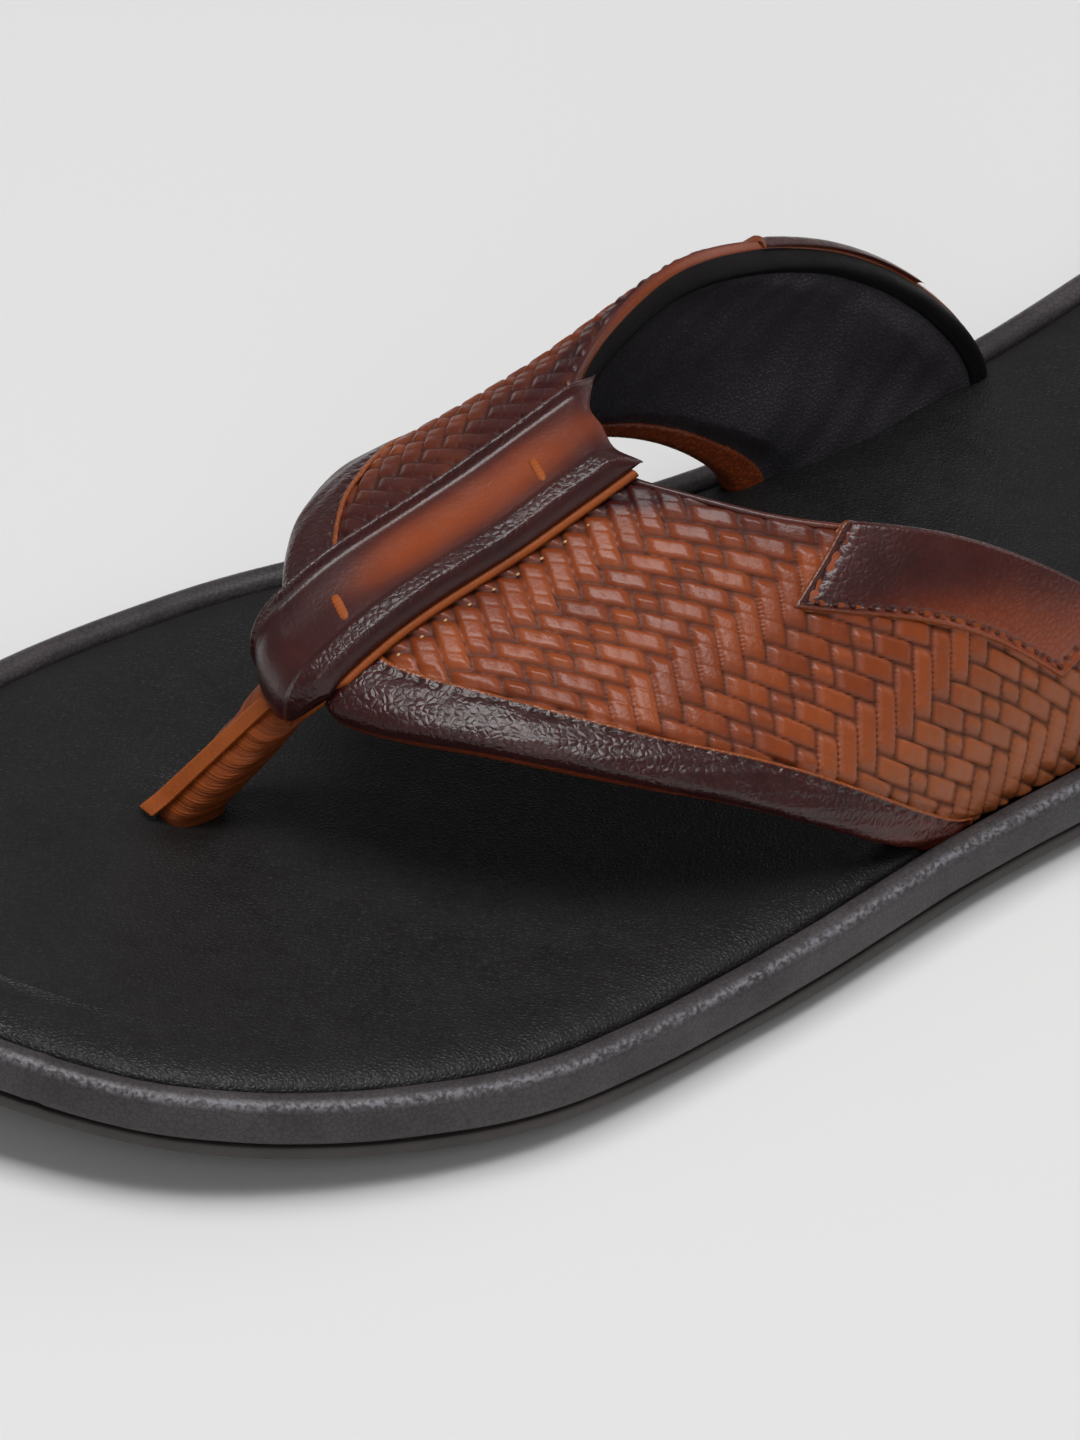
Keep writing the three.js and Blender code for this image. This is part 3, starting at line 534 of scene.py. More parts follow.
def use(tree, made, sockets):
    return put(tree, "ShaderNodeGroup", sockets, node_tree=made).outputs


def surface(name):
    """An empty material, or None where it is already made."""
    if name in bpy.data.materials:
        return None
    material = bpy.data.materials.new(name)
    material.use_nodes = True
    material.node_tree.nodes.clear()
    return material


def shade(tree, colour, roughness, height, depth, **constants):
    """The leather's own shader, with a bump of some depth in metres."""
    bump = put(tree, "ShaderNodeBump", {"Height": height, "Distance": depth, "Strength": 1.0})
    sockets = {"Base Color": colour, "Roughness": roughness, "Normal": bump.outputs[0]}
    shader = put(tree, "ShaderNodeBsdfPrincipled", sockets)
    for key, value in constants.items():
        shader.inputs[key.replace("_", " ")].default_value = value
    if constants.get("Coat_Weight"):
        tree.links.new(bump.outputs[0], shader.inputs["Coat Normal"])
    output = put(tree, "ShaderNodeOutputMaterial")
    tree.links.new(shader.outputs[0], output.inputs["Surface"])


def noise(tree, scale, detail=3.0, roughness=0.55):
    place = put(tree, "ShaderNodeTexCoord").outputs["Object"]
    sockets = {"Vector": place, "Scale": scale, "Detail": detail, "Roughness": roughness}
    return put(tree, "ShaderNodeTexNoise", sockets).outputs[0]


def woven_leather():
    material = surface("woven_strips")
    if material is None:
        return bpy.data.materials["woven_strips"]
    colours, tree = bpy.context.scene.sandal_colours, material.node_tree
    relief, tint = mark(tree, "relief"), mark(tree, "tint")
    burnish, pale = mark(tree, "burnish"), mark(tree, "pale")
    body = use(tree, mottle_group(), {
        "Deep": colours.weave_deep, "Light": colours.weave_light, "Share": tint, "Drift": 0.5,
    })["Color"]
    worn = mixed(tree, maths(tree, "MULTIPLY", pale, 0.45), body, tone("a0623c"))
    cloud = ranged(tree, noise(tree, 140), 0.35, 0.65, -0.18, 0.18)
    polish = maths(tree, "ADD", burnish, cloud, clamp=True)
    polished = mixed(tree, maths(tree, "MULTIPLY", polish, burnish), worn, colours.burnish)
    depth = ranged(tree, relief, 0.0, 0.62, 1.0, 0.0)
    shaded = mixed(tree, maths(tree, "MULTIPLY", depth, 0.9), polished, tone("1c0805"))
    fine = maths(tree, "MULTIPLY_ADD", noise(tree, 2600, 2), 0.5, noise(tree, 700, 2))
    worn_rough = ranged(tree, noise(tree, 260), 0.3, 0.7, 0.3, 0.44)
    roughness = maths(tree, "MULTIPLY_ADD", depth, 0.5, worn_rough, clamp=True)
    shade(
        tree, shaded, roughness, fine, 0.00007,
        Specular_IOR_Level=0.36, Coat_Weight=0.06, Coat_Roughness=0.25,
    )
    return material


def burgundy_leather():
    material = surface("polished_burgundy")
    if material is None:
        return bpy.data.materials["polished_burgundy"]
    scene, tree = bpy.context.scene, material.node_tree
    colours = scene.sandal_colours
    grain = use(tree, pebble_group(), {"Cell": scene.sandal_sizes.grain, "Unevenness": 0.6})
    shown = maths(tree, "MULTIPLY", grain["Crease"], mark(tree, "pebble"))
    crease = maths(tree, "MAXIMUM", maths(tree, "MULTIPLY", shown, 0.5), mark(tree, "hole_and_shade"))
    body = use(tree, mottle_group(), {
        "Deep": colours.plum, "Light": colours.burgundy, "Share": 0.55, "Drift": 0.6,
    })["Color"]
    glowing = use(tree, mottle_group(), {
        "Deep": colours.burgundy, "Light": colours.glow, "Share": mark(tree, "glow"), "Drift": 0.3,
    })["Color"]
    warm = mixed(tree, ranged(tree, mark(tree, "glow"), 0.0, 0.5), body, glowing)
    edged = mixed(tree, mark(tree, "edge"), warm, colours.tan)
    # Painted shade: the grain's creases and the stitch holes are darkened towards 120505.
    crease_shaded = mixed(tree, maths(tree, "MULTIPLY", crease, 0.75), edged, tone("120505"))
    roughness = ranged(tree, noise(tree, 300), 0.3, 0.7, 0.28, 0.42)
    fine = maths(tree, "MULTIPLY", noise(tree, 1900, 3, 0.6), 0.35)
    bump = maths(tree, "MULTIPLY_ADD", grain["Height"], mark(tree, "pebble"), fine)
    shade(
        tree, crease_shaded, roughness, bump, 0.00006,
        Specular_IOR_Level=0.4, Coat_Weight=0.3, Coat_Roughness=0.26,
    )
    return material


def tan_leather():
    material = surface("raw_tan")
    if material is None:
        return bpy.data.materials["raw_tan"]
    colours, tree = bpy.context.scene.sandal_colours, material.node_tree
    # Painted shade darkens stitch holes, wrinkle troughs, tack ends and the post's foot.
    body = use(tree, mottle_group(), {
        "Deep": tone("6a2e12"), "Light": colours.tan, "Share": mark(tree, "glow"), "Drift": 0.6,
        "Crease": mark(tree, "hole_and_shade"), "Painted crease shade": 0.8,
    })["Color"]
    fibres = maths(tree, "MULTIPLY_ADD", noise(tree, 2400, 3, 0.7), 0.7, noise(tree, 600, 2))
    roughness = ranged(tree, noise(tree, 400), 0.3, 0.7, 0.42, 0.6)
    shade(tree, body, roughness, fibres, 0.0001, Specular_IOR_Level=0.25)
    return material


def grained_leather(name, colour, light, cell, depth, rough, crest=None, **constants):
    """A dark leather with fine pores, painted shade in their creases, and painted highlight specks
    on its crest where a tone is given.
    """
    material = surface(name)
    if material is None:
        return bpy.data.materials[name]
    tree = material.node_tree
    grain = use(tree, pebble_group(), {"Cell": cell, "Unevenness": 0.9})
    body = use(tree, mottle_group(), {
        "Deep": colour, "Light": light, "Share": 0.4, "Drift": 0.7,
        "Crease": grain["Crease"], "Painted crease shade": 0.4,
    })["Color"]
    if crest:
        # Painted highlight: light specks along the crest in the given tone.
        highlight_specks = ranged(tree, noise(tree, 1700, 2), 0.42, 0.6, 0.1, 1.0)
        body = mixed(tree, maths(tree, "MULTIPLY", mark(tree, "crest"), highlight_specks), body, crest)
    roughness = ranged(tree, noise(tree, 220, 4), 0.3, 0.7, rough - 0.07, rough + 0.09)
    shade(tree, body, roughness, grain["Height"], depth, **constants)
    return material


def plain_fibre(name, colour, light, scale, depth, rough):
    """Matt inner stuff such as foam, board, canvas, rubber or thread."""
    material = surface(name)
    if material is None:
        return bpy.data.materials[name]
    tree = material.node_tree
    dye = {"Deep": colour, "Light": light, "Share": 0.5, "Drift": 0.8}
    body = use(tree, mottle_group(), dye)
    shade(tree, body["Color"], rough, noise(tree, scale, 4, 0.65), depth)
    return material


# ---- Stitches ---------------------------------------------------------------------------------
def stitch_tree():
    """Geometry nodes that lay one stitch at each step along a seam."""
    known = bpy.data.node_groups.get("stitch_row")
    if known:
        return known
    tree = bpy.data.node_groups.new("stitch_row", "GeometryNodeTree")
    face = tree.interface
    face.new_socket("Geometry", in_out="OUTPUT", socket_type="NodeSocketGeometry")
    face.new_socket("Geometry", in_out="INPUT", socket_type="NodeSocketGeometry")
    for label, value in (("Pitch", 2.2), ("Stitch length", 1.6), ("Thread radius", 0.25)):
        socket = face.new_socket(label, in_out="INPUT", socket_type=FLOAT)
        socket.default_value = value * MM
    face.new_socket("Slant", in_out="INPUT", socket_type=FLOAT).default_value = 0.12
    face.new_socket("Material", in_out="INPUT", socket_type="NodeSocketMaterial")
    given, out = put(tree, "NodeGroupInput").outputs, put(tree, "NodeGroupOutput")
    path = put(tree, "GeometryNodeMeshToCurve", {"Mesh": given["Geometry"]}).outputs[0]
    steps = {"Curve": path, "Length": given["Pitch"]}
    dots = put(tree, "GeometryNodeCurveToPoints", steps, mode="LENGTH")
    turn = put(tree, "FunctionNodeRotateRotation", {"Rotation": dots.outputs["Rotation"]})
    sway = put(tree, "FunctionNodeRandomValue", {2: -0.08, 3: 0.08, "Seed": 7}, data_type="FLOAT")
    lean = maths(tree, "ADD", sway.outputs[1], given["Slant"])
    axis = put(tree, "FunctionNodeAxisAngleToRotation", {"Axis": (0, 1, 0), "Angle": lean})
    tree.links.new(axis.outputs[0], turn.inputs["Rotate By"])
    bead = put(tree, "GeometryNodeMeshUVSphere", {"Segments": 8, "Rings": 7, "Radius": 0.5})
    across = maths(tree, "MULTIPLY", given["Thread radius"], 2.0)
    size = put(tree, "ShaderNodeCombineXYZ", {0: across, 1: across, 2: given["Stitch length"]})
    laid = put(tree, "GeometryNodeInstanceOnPoints", {
        "Points": dots.outputs["Points"], "Instance": bead.outputs["Mesh"],
        "Rotation": turn.outputs[0], "Scale": size.outputs[0],
    })
    real = put(tree, "GeometryNodeRealizeInstances", {"Geometry": laid.outputs[0]})
    even = put(tree, "GeometryNodeSetShadeSmooth", {0: real.outputs[0]})
    dye = {0: even.outputs[0], "Material": given["Material"]}
    coloured = put(tree, "GeometryNodeSetMaterial", dye)
    tree.links.new(coloured.outputs[0], out.inputs[0])
    return tree


def stitched(name, path, material, pitch, length, radius, *nodes):
    """A seam: one piece that holds the stitches along a path, whose points are in millimetres."""
    mesh = bpy.data.meshes.new(name + "_path")
    edges = [(k, k + 1) for k in range(len(path) - 1)]
    mesh.from_pydata((np.asarray(path) * MM).tolist(), edges, [])
    carrier = bpy.data.objects.new(name + "_path", mesh)
    bpy.context.scene.collection.objects.link(carrier)
    modifier = carrier.modifiers.new("stitches", "NODES")
    tree = stitch_tree()
    modifier.node_group = tree
    values = {
        "Pitch": pitch, "Stitch length": length, "Thread radius": radius, "Material": material,
    }
    for item in tree.interface.items_tree:
        if item.in_out == "INPUT" and item.name in values:
            modifier[item.identifier] = values[item.name]
    graph = bpy.context.evaluated_depsgraph_get()
    made = bpy.data.meshes.new_from_object(carrier.evaluated_get(graph))
    made.name = name
    carrier.modifiers.remove(modifier)
    bpy.data.objects.remove(carrier)
    piece = bpy.data.objects.new(name, made)
    bpy.context.scene.collection.objects.link(piece)
    finish_piece(piece, material, "thread", *nodes)
    return piece


# ---- The sole ---------------------------------------------------------------------------------
def ring_rows(profile):
    """Rings of the sole at (inset, height) pairs, each one number or one for each point."""
    rows = []
    for inset, height in profile:
        flat = ring(np.broadcast_to(inset, RING_STEPS))
        rows.append(np.column_stack([flat, level(flat[:, 1], np.broadcast_to(height, RING_STEPS))]))
    return rows


def tread_height(x, y):
    """The underside: bars cut across the forefoot and the heel in a shallow chevron."""
    left, right = (side_x(TREAD_RING, side, y) for side in (-1, 1))
    share = np.clip((x - left) / (right - left), 0, 1)
    chevron = CHEVRON * np.abs(np.cos(np.pi * share))
    inside = smooth(x, left - 0.5, left + 0.5) * (1 - smooth(x, right - 0.5, right + 0.5))
    groove, half = np.zeros_like(x), TREAD_WIDTH / 2
    for start, end in TREAD_ROWS:
        for station in np.arange(start, end, TREAD_PITCH):
            near = np.abs(y - (station + chevron + half))
            groove = np.maximum(groove, 1 - smooth(near, half - 0.4, half + 0.2))
    return level(y, 0.0) + TREAD_DEPTH * groove * inside


def make_outsole():
    """The outsole: a bevelled edge, a plain top and the tread cut in its underside."""
    profile = [
        (14, OUTSOLE_TOP), (0.6, OUTSOLE_TOP), (0.3, 3.42), (0.2, 3.2), (0.2, 2.7), (0.2, 2.3),
        (0.3, 2.0), (0.7, 1.7), (1.5, 1.2), (3.0, 0.35), (3.6, 0.08), (4.4, 0), (6, 0),
    ]
    rows = ring_rows(profile)
    faces = quads(len(rows), RING_STEPS, False, True)
    points = np.vstack(rows)
    points = capped(points, faces, 0, lambda x, y: level(y, OUTSOLE_TOP), 4)
    points = capped(points, faces, (len(rows) - 1) * RING_STEPS, tread_height, 56, True)
    return solid("outsole_tread", points, faces)


def make_rim():
    """The rim's leather: a thin wall drawn over the edge, with a soft crown and a turned foot."""
    half, foot = RIM_WIDTH / 2, RIM_HEIGHT - RIM_CROWN
    turns = np.radians(range(0, 181, 12))
    crown = [(half - half * math.cos(a), foot + RIM_CROWN * math.sin(a)) for a in turns]
    walk = RING_WALK
    sway = ripple((walk / 9.1, 0.05), (walk / 3.7 + 1, 0.03), (walk / 1.9 + 2, 0.015))
    seam = np.exp(-(((OUTER_RING[:, 0] - 18) / 0.45) ** 2)) * (OUTER_RING[:, 1] < -100)
    profile = [
        (6, 3.8), (2, 3.8), (0.9, 3.84), (0.45, 3.95), (0.18, 4.2), (0.05, 4.6),
        (0.0, 5.2), (-0.02, 6.0), (-0.02, 6.8), (0, 7.4),
    ]
    profile += crown + [(RIM_WIDTH, 7.2), (RIM_WIDTH, 6.7), (2.7, 6.7), (2.7, 7.6)]
    profile += [(half, 8.4), (0.8, 7.6)]
    profile += [(0.8, 5), (1.2, 4.6), (6, 4.6)]
    shaped = [(inset + sway + 0.25 * seam, height + 0.6 * sway) for inset, height in profile]
    rows = np.stack(ring_rows(shaped), 1)
    insets, heights = np.array(profile).T
    # Where the painted highlight specks go: along the top of the crown.
    crest = np.exp(-(((insets - 0.55) / 0.35) ** 2)) * (heights > 8.6)
    return tube("rim_leather", rows, {"crest": crest}, round_trip=True)


def slot_share():
    """1 where a strap goes down beside the footbed, round the outline, and 0 elsewhere."""
    draw = np.zeros(RING_STEPS)
    for side in (1, -1):
        y, x = OUTER_RING[:, 1], OUTER_RING[:, 0]
        front, rear = FRONT_EDGE[side][4][1] + 3.3, REAR_EDGE[side][4][1] + 1.2
        inside = smooth(y, front - 1, front + 0.6) * (1 - smooth(y, rear - 2.2, rear - 0.6))
        draw += inside * (x * side > 0)
    return draw


def footbed_height(x, y):
    """The footbed's face: soft waves, and a dent where the post goes in."""
    post = np.hypot((x - POST_BASE[0]) / 5.2, (y - POST_BASE[1]) / 6.8)
    dent = 0.7 * np.exp(-(post**4)) + 0.25 * np.exp(-(post / 2) ** 2)
    waves = ripple(((x + 0.6 * y) / 17, 0.08), ((y - 0.4 * x) / 23 + 1, 0.1))
    return level(y, SOCK_TOP + waves * 0.5) - dent


def make_footbed():
    """The sock leather: its padded edge rolls down into the groove inside the rim."""
    walk = RING_WALK
    pucker = ripple(
        (walk / 0.92, 0.5), (walk / 0.61 + 2 * np.sin(walk / 7), 0.35), (walk / 2.3, 0.5)
    )
    pucker = pucker * (0.6 + 0.4 * np.sin(walk / 11))
    slots = slot_share()
    profile = [
        (8, FOOTBED_UNDER, 0), (0.1, FOOTBED_UNDER, 0), (0, 7.5, 0), (0, 8.0, 0.1),
        (0.15, 8.4, 0.3), (0.45, 8.75, 0.7),
        (0.9, 9.05, 1), (1.5, 9.3, 1), (2.2, 9.48, 0.8), (3.1, 9.62, 0.5), (4.2, 9.72, 0.3),
        (5.5, 9.78, 0.15), (7, SOCK_TOP, 0.05), (9, SOCK_TOP, 0),
    ]
    shaped = []
    for k, (inset, height, share) in enumerate(profile):
        wave = share * pucker * (1 - slots)
        drawn = (3.1 if k else 1.0) * slots + inset * (1 - 0.6 * slots * (k > 0))
        raised = height + (SOCK_TOP - height) * slots * (k > 2)
        shaped.append((SOCK_EDGE + drawn + 0.14 * wave, raised + 0.12 * wave))
    rows = ring_rows(shaped)
    points = np.vstack(rows)
    faces = quads(len(rows), RING_STEPS, False, True)
    points = capped(points, faces, 0, lambda x, y: level(y, FOOTBED_UNDER), 4)
    points = capped(points, faces, (len(rows) - 1) * RING_STEPS, footbed_height, 90, True)
    return solid("footbed_leather", points, faces)


# ---- The wings --------------------------------------------------------------------------------
WIDE_TURN, NARROW_TURN = 21.5, 42  # degrees between a strip and the way down a wing
OVER = np.array([0, 1, 0, 0, 1, 1, 1, 0], bool)  # where a wide strip lies on top


def leather_walk(side, down, y):
    """Millimetres over the leather from the crest down to a place, at one station."""
    shares = np.linspace(0, 1, 40)
    angle = 90 * np.minimum(down, 1)[..., None] * shares
    path = strap_point(side, angle, np.broadcast_to(y[..., None], angle.shape))
    walk = np.linalg.norm(np.diff(path, axis=-2), axis=-1).sum(-1)
    return walk + np.maximum(down - 1, 0) * SLOT_DEPTH


def weave(u, v, wide, narrow):
    """Height from 0 to 1, and a tint, of the woven strips at u down and v back."""
    turn, cross = math.radians(WIDE_TURN), math.radians(NARROW_TURN)
    a = (u * math.sin(turn) + v * math.cos(turn)) / wide
    b = (-u * math.sin(cross) + v * math.cos(cross)) / narrow
    i, j = np.floor(a).astype(int), np.floor(b).astype(int)
    fa, fb = a - i, b - j

    def over(m, n):
        return OVER[(m - n) % 8]

    def strip(across, run, before, after, drop):
        dome = np.clip(1 - np.abs(2 * across - 1) ** 5, 0, 1) ** 0.6
        rise, fall = smooth(run, -0.15, drop), smooth(1 - run, -0.15, drop)
        ends = np.where(before, 1, rise) * np.where(after, 1, fall)
        crease = 1 - 0.1 * np.exp(-((np.minimum(run, 1 - run) / 0.07) ** 2))
        return dome * (0.1 + 0.9 * ends) * crease

    wide_top = strip(fa, fb, over(i, j - 1), over(i, j + 1), 0.55)
    narrow_top = strip(fb, fa, ~over(i - 1, j), ~over(i + 1, j), 0.5)
    top = over(i, j)
    tint = np.where(top, scatter(i, 3), scatter(j, 11))
    return np.where(top, wide_top, narrow_top * 0.92), tint


def wing_sheet(side, rows, columns, front, rear):
    """A grid over a wing, kept some millimetres off its front and rear edges."""
    downs = wing_downs(side, WING_TOP, WING_FOOT, rows)[:, None]
    span = breadth(side, downs)
    start = front / span
    share = start + (1 - rear / span - start) * np.linspace(0, 1, columns)[None, :]
    share, downs = np.broadcast_arrays(share, downs)
    y = wing_point(side, downs, share)[..., 1]
    return downs, share, span, y, leather_walk(side, downs, y)


def make_panel(name, side, sizes):
    """A wing's face of woven strips, whose front edge goes under the border."""
    downs, share, span, y, u = wing_sheet(side, 300, 180, BORDER_SEAM, 0)
    height, tint = weave(u, y, sizes.wide_strip / MM, sizes.narrow_strip / MM)
    to_rear = (1 - share) * span
    edge = np.clip(1 - to_rear / 1.2, 0, 1)
    beside = 1 - smooth(share * span - BORDER_SEAM, 1.2, 2.6)
    out = (height - 0.45) * (sizes.weave_relief / MM) - 0.6 * edge**2 - 0.35 * beside
    shown = wing_offset(side, downs, share, out)
    hidden = wing_offset(side, downs, share, -PANEL)
    centre = 1 - (smooth(u, 7.5, 15) if side > 0 else smooth(u, 11, 34))
    rear = 1 - smooth(to_rear, 1.0, 8)
    near_rim = smooth(downs, 0.6, 0.9)
    marks = {
        "relief": height, "tint": 0.25 + 0.5 * tint,
        "burnish": np.clip((0.7 if side > 0 else 0.95) * centre + 0.85 * rear, 0, 1),
        "pale": near_rim,
    }
    return plate("woven_panel_" + name, shown, hidden, marks)


# Sections across a wing: millimetres back from its edge, and out from its face.
BORDER_PATH = [
    (8.0, -0.3), (8.0, 0.1), (7.95, 0.4), (7.75, 0.5), (7.4, 0.42), (7.05, 0.28), (6.6, 0.4),
    (5.8, 0.55), (4.5, 0.62), (2.5, 0.6), (1.2, 0.42), (0.4, 0.0), (0.05, -0.7), (0, -1.4),
    (0, -2.3), (0.15, -3.05), (0.6, -3.6), (1.4, -3.8), (4.6, -3.8), (4.8, -3.5), (4.6, -2.9),
    (1.4, -2.75),
    (1.0, -2.4), (1.0, -0.9), (1.5, -0.4), (4, -0.35),
]


def path_loop(path, count):
    """A closed section resampled evenly, with its corners eased."""
    even = spaced(np.array(path, float), count, closed=True)
    for _ in range(2):
        even = (np.roll(even, 1, 0) + 2 * even + np.roll(even, -1, 0)) / 4
    return even


def seam_dips(walk, distance, pitch, line, reach=0.55):
    """How deep a seam's holes pull the leather in, at some walk along it and distance from it."""
    along = np.abs(np.mod(walk / pitch, 1) - 0.5) * pitch
    return np.exp(-((along / 0.38) ** 2) - ((distance - line) / reach) ** 2)


def make_border(name, side, sizes):
    """The border: a strip of pebbled leather folded round a wing's front edge."""
    downs = wing_downs(side, WING_TOP, WING_FOOT, 330)[:, None]
    path = path_loop(BORDER_PATH, 84)
    back, out = path[None, :, 0], path[None, :, 1]
    span = breadth(side, downs)
    place = wing_point(side, downs[:, 0], 0.2)
    walk = np.concatenate([[0], np.cumsum(np.linalg.norm(np.diff(place, axis=0), axis=1))])[:, None]
    top = out > -0.2
    hole_and_shade = seam_dips(walk, back, sizes.stitch_pitch / MM, BORDER_SEAM, 0.42) * top
    sway = ripple((walk / 2.9 + back, 0.06), (walk / 1.3 - back * 1.7, 0.04)) * top
    shown = wing_offset(side, downs, back / span, out - 0.22 * hole_and_shade + sway)
    rear_edge = (back > 7.55) & (out > -0.35)
    brown = smooth(downs, 0.72, 0.98) * 0.3
    # Painted shade darkens the stitch holes.
    marks = {
        "hole_and_shade": hole_and_shade, "edge": np.where(rear_edge, 0.9, 0.0),
        "glow": brown + 0.6 * (out < -1.6), "pebble": 1.0,
    }
    return tube("border_leather_" + name, shown, marks)


FOLD_PATH = [
    (-0.7, -0.4), (-0.6, -0.1), (-0.3, 0.1), (0.0, 0.08), (0.25, -0.1), (0.4, -0.4), (0.35, -0.8),
    (0.2, -1.15), (-0.2, -1.3), (-0.7, -1.25), (-0.8, -0.8),
]
LIP_PATH = [
    (-1.6, -1.4), (-0.5, -1.0), (-0.1, -1.1), (0.0, -1.5), (-0.1, -2.4), (-0.4, -3.1), (-1.0, -3.6),
    (-1.8, -3.75), (-3.4, -3.7), (-3.4, -3.2), (-2.6, -2.2),
]


def make_fold(title, side, section):
    """A thin turned edge of leather that runs along a wing's rear edge."""
    downs = wing_downs(side, 0.07, WING_FOOT, 260)[:, None]
    path = path_loop(section, 48)
    back, out = path[None, :, 0], path[None, :, 1]
    walk = np.linspace(0, 75, 260)[:, None]
    sway = ripple((walk / 3.3 + out, 0.05), (walk / 1.5, 0.03))
    shown = wing_offset(side, downs, 1 + back / breadth(side, downs), out + sway)
    glow = 0.2 + 0.4 * smooth(downs, 0.1, 0.5) - 0.15 * (out > -0.2)
    return tube(title, shown, {"glow": glow, "edge": 0.25 * (out < -0.4), "pebble": 0.3})


def make_lining(name, side):
    """The lining: its inner face shows soft folds where the wing bends."""
    downs, share, span, y, u = wing_sheet(side, 220, 150, 4.1, 3.0)
    folds = ripple(
        (u / 3.1 + 1.4 * np.sin(y / 9), 0.24), (u / 5.3 - y / 7, 0.42),
        ((u + 1.3 * y) / 1.7 + 1.5 * np.sin(u / 5), 0.11),
        ((u - 0.5 * y) / 2.4 + np.sin(y / 6), 0.13),
    )
    mask = smooth(share * span, 4.5, 9) * smooth((1 - share) * span, 3, 8)
    shown = wing_offset(side, downs, share, -STRAP_STACK - 0.5 * mask + folds * mask)
    hidden = wing_offset(side, downs, share, -STRAP_STACK + LINING)
    return plate("wing_lining_leather_" + name, shown, hidden)


def make_stiffener(name, side):
    """The canvas between a wing's leather and its lining, hidden by both."""
    downs, share = wing_sheet(side, 60, 25, 2.2, 2.8)[:2]
    shown = wing_offset(side, downs, share, -PANEL - 0.3)
    hidden = wing_offset(side, downs, share, -PANEL - 1.0)
    return plate("stiffener_canvas_" + name, shown, hidden, step=6)


def patch_station(side, share_down, to_front):
    """How far down a wing a place on its patch lies, the patch being set on a slant."""
    start, end = PATCH_REACH[side]
    return start + (end - start) * share_down + PATCH_SLANT * to_front


def make_patch(name, side):
    """A plain patch sewn over the weave, wrapped round the wing's rear edge."""
    rows, columns = 150, 90
    share_down = np.linspace(0, 1, rows)[:, None]
    behind = np.linspace(-PATCH_WIDTH, 1.8, columns)[None, :]
    to_front = np.clip(-behind / PATCH_WIDTH, 0, 1)
    downs = patch_station(side, share_down, to_front)
    span = breadth(side, downs)
    top, foot = (wing_point(side, patch_station(side, share, 0.5), 0.8) for share in (0, 1))
    length = np.linalg.norm(foot - top)
    along, front = share_down * length, behind + PATCH_WIDTH
    side_way = np.minimum(along, length - along)
    inset = np.minimum(front, side_way)
    curve = 0.95  # the radius it turns round the wing's rear edge with
    wrap = np.clip(behind, 0, None) / curve
    x = np.where(behind < 0, behind, curve * np.sin(wrap))
    drop = curve * (1 - np.cos(wrap))
    lip = 0.28 * np.exp(-(((inset - 0.55) / 0.4) ** 2)) - 0.8 * np.clip(1 - inset / 0.5, 0, 1) ** 2
    front_seam = seam_dips(along, front, PATCH_PITCH, SEAM_INSET) * (side_way > 1.2)
    side_seam = seam_dips(front, side_way, PATCH_PITCH, SEAM_INSET) * (front > 1.2)
    hole_and_shade = np.maximum(front_seam, side_seam * (behind < -0.8))
    groove = 0.16 * np.exp(-(((inset - SEAM_INSET) / 0.5) ** 2))
    out = 0.5 + lip - 0.22 * hole_and_shade - groove - drop
    shown = wing_offset(side, downs, 1 + x / span, out)
    hidden = wing_offset(side, downs, 1 + x / span, -drop)
    warm = smooth(share_down + 0.7 * to_front, 0.55, 1.5)
    # Painted shade darkens the stitch holes.
    marks = {
        "hole_and_shade": hole_and_shade, "edge": np.clip(1 - inset / 0.85, 0, 1) * 0.75,
        "glow": 0.12 + 0.75 * warm, "pebble": 0.6,
    }
    return plate("sewn_patch_" + name, shown, hidden, marks, step=15)


def wing_seam(side, back_at, out, start, end):
    """A seam's path down a wing, back_at giving its share of the wing's breadth."""
    downs = wing_downs(side, start, end, 160)
    return wing_offset(side, downs, back_at(breadth(side, downs)), out)


# ---- The centre band --------------------------------------------------------------------------
def band_height(over):
    """The band's relief across its width: a thin ridge on one side and a broad one on the other."""
    thin = 1.05 * np.exp(-(((over + 0.86) / 0.085) ** 2))
    broad = 0.95 * smooth(over, 0.42, 0.62) * (1 - smooth(over, 0.84, 1.0))
    hollow = -0.25 * np.exp(-(((over + 0.1) / 0.42) ** 2))
    edges = -0.9 * np.clip((np.abs(over) - 0.93) / 0.07, 0, 1) ** 2
    return thin + broad + hollow + edges


def band_grid(half, along, across, last_roll):
    """Shares over and along the band, with the degrees its end is rolled down."""
    over = np.linspace(-1, 1, across)[None, :]
    share = np.concatenate([np.linspace(0, 1, along), np.ones(50)])[:, None]
    roll = np.concatenate([np.zeros(along), np.linspace(0, last_roll, 51)[1:]])[:, None]
    return over, half, share, roll


def nose_share(over):
    """How much of the nose's roll there is across the band: less on its outer side."""
    return through([(-1, 1), (0.1, 1), (0.6, 0.8), (1, 0.42)], over)


def make_band():
    """The centre band, ridged along both sides and rolled down at its nose."""
    over, half, share, roll = band_grid(BAND_HALF, 200, 120, NOSE_ROLL + 14)
    height = band_height(over) * (1 - 0.6 * smooth(roll, 30, 85)) * smooth(share, -0.03, 0.09)
    walk = (1 - share) * 42
    sway = ripple(((walk + over * 3) / 2.4, 0.05), ((walk - over * 5) / 4.1, 0.07))
    tip = -0.5 * smooth(roll, 78, 86)
    collar = -1.3 * np.clip(1 - share / 0.07, 0, 1) ** 2
    out = BAND_INNER + BAND_THICKNESS + height + sway + tip + collar
    shown = band_place(over, half, share, roll * nose_share(over), out)
    hidden = band_place(over, half, share, roll * nose_share(over), BAND_INNER)
    middle = np.exp(-(((over + 0.12) / 0.46) ** 2))
    glow = middle * (1 - smooth(share, 0.62, 0.95)) * (0.55 + 0.45 * smooth(share, 0.02, 0.25))
    ridged = np.clip(height, 0, 1)
    marks = {"glow": glow * 0.95, "pebble": 0.15 + 0.75 * ridged}
    return plate("band_leather", shown, hidden, marks, step=15)


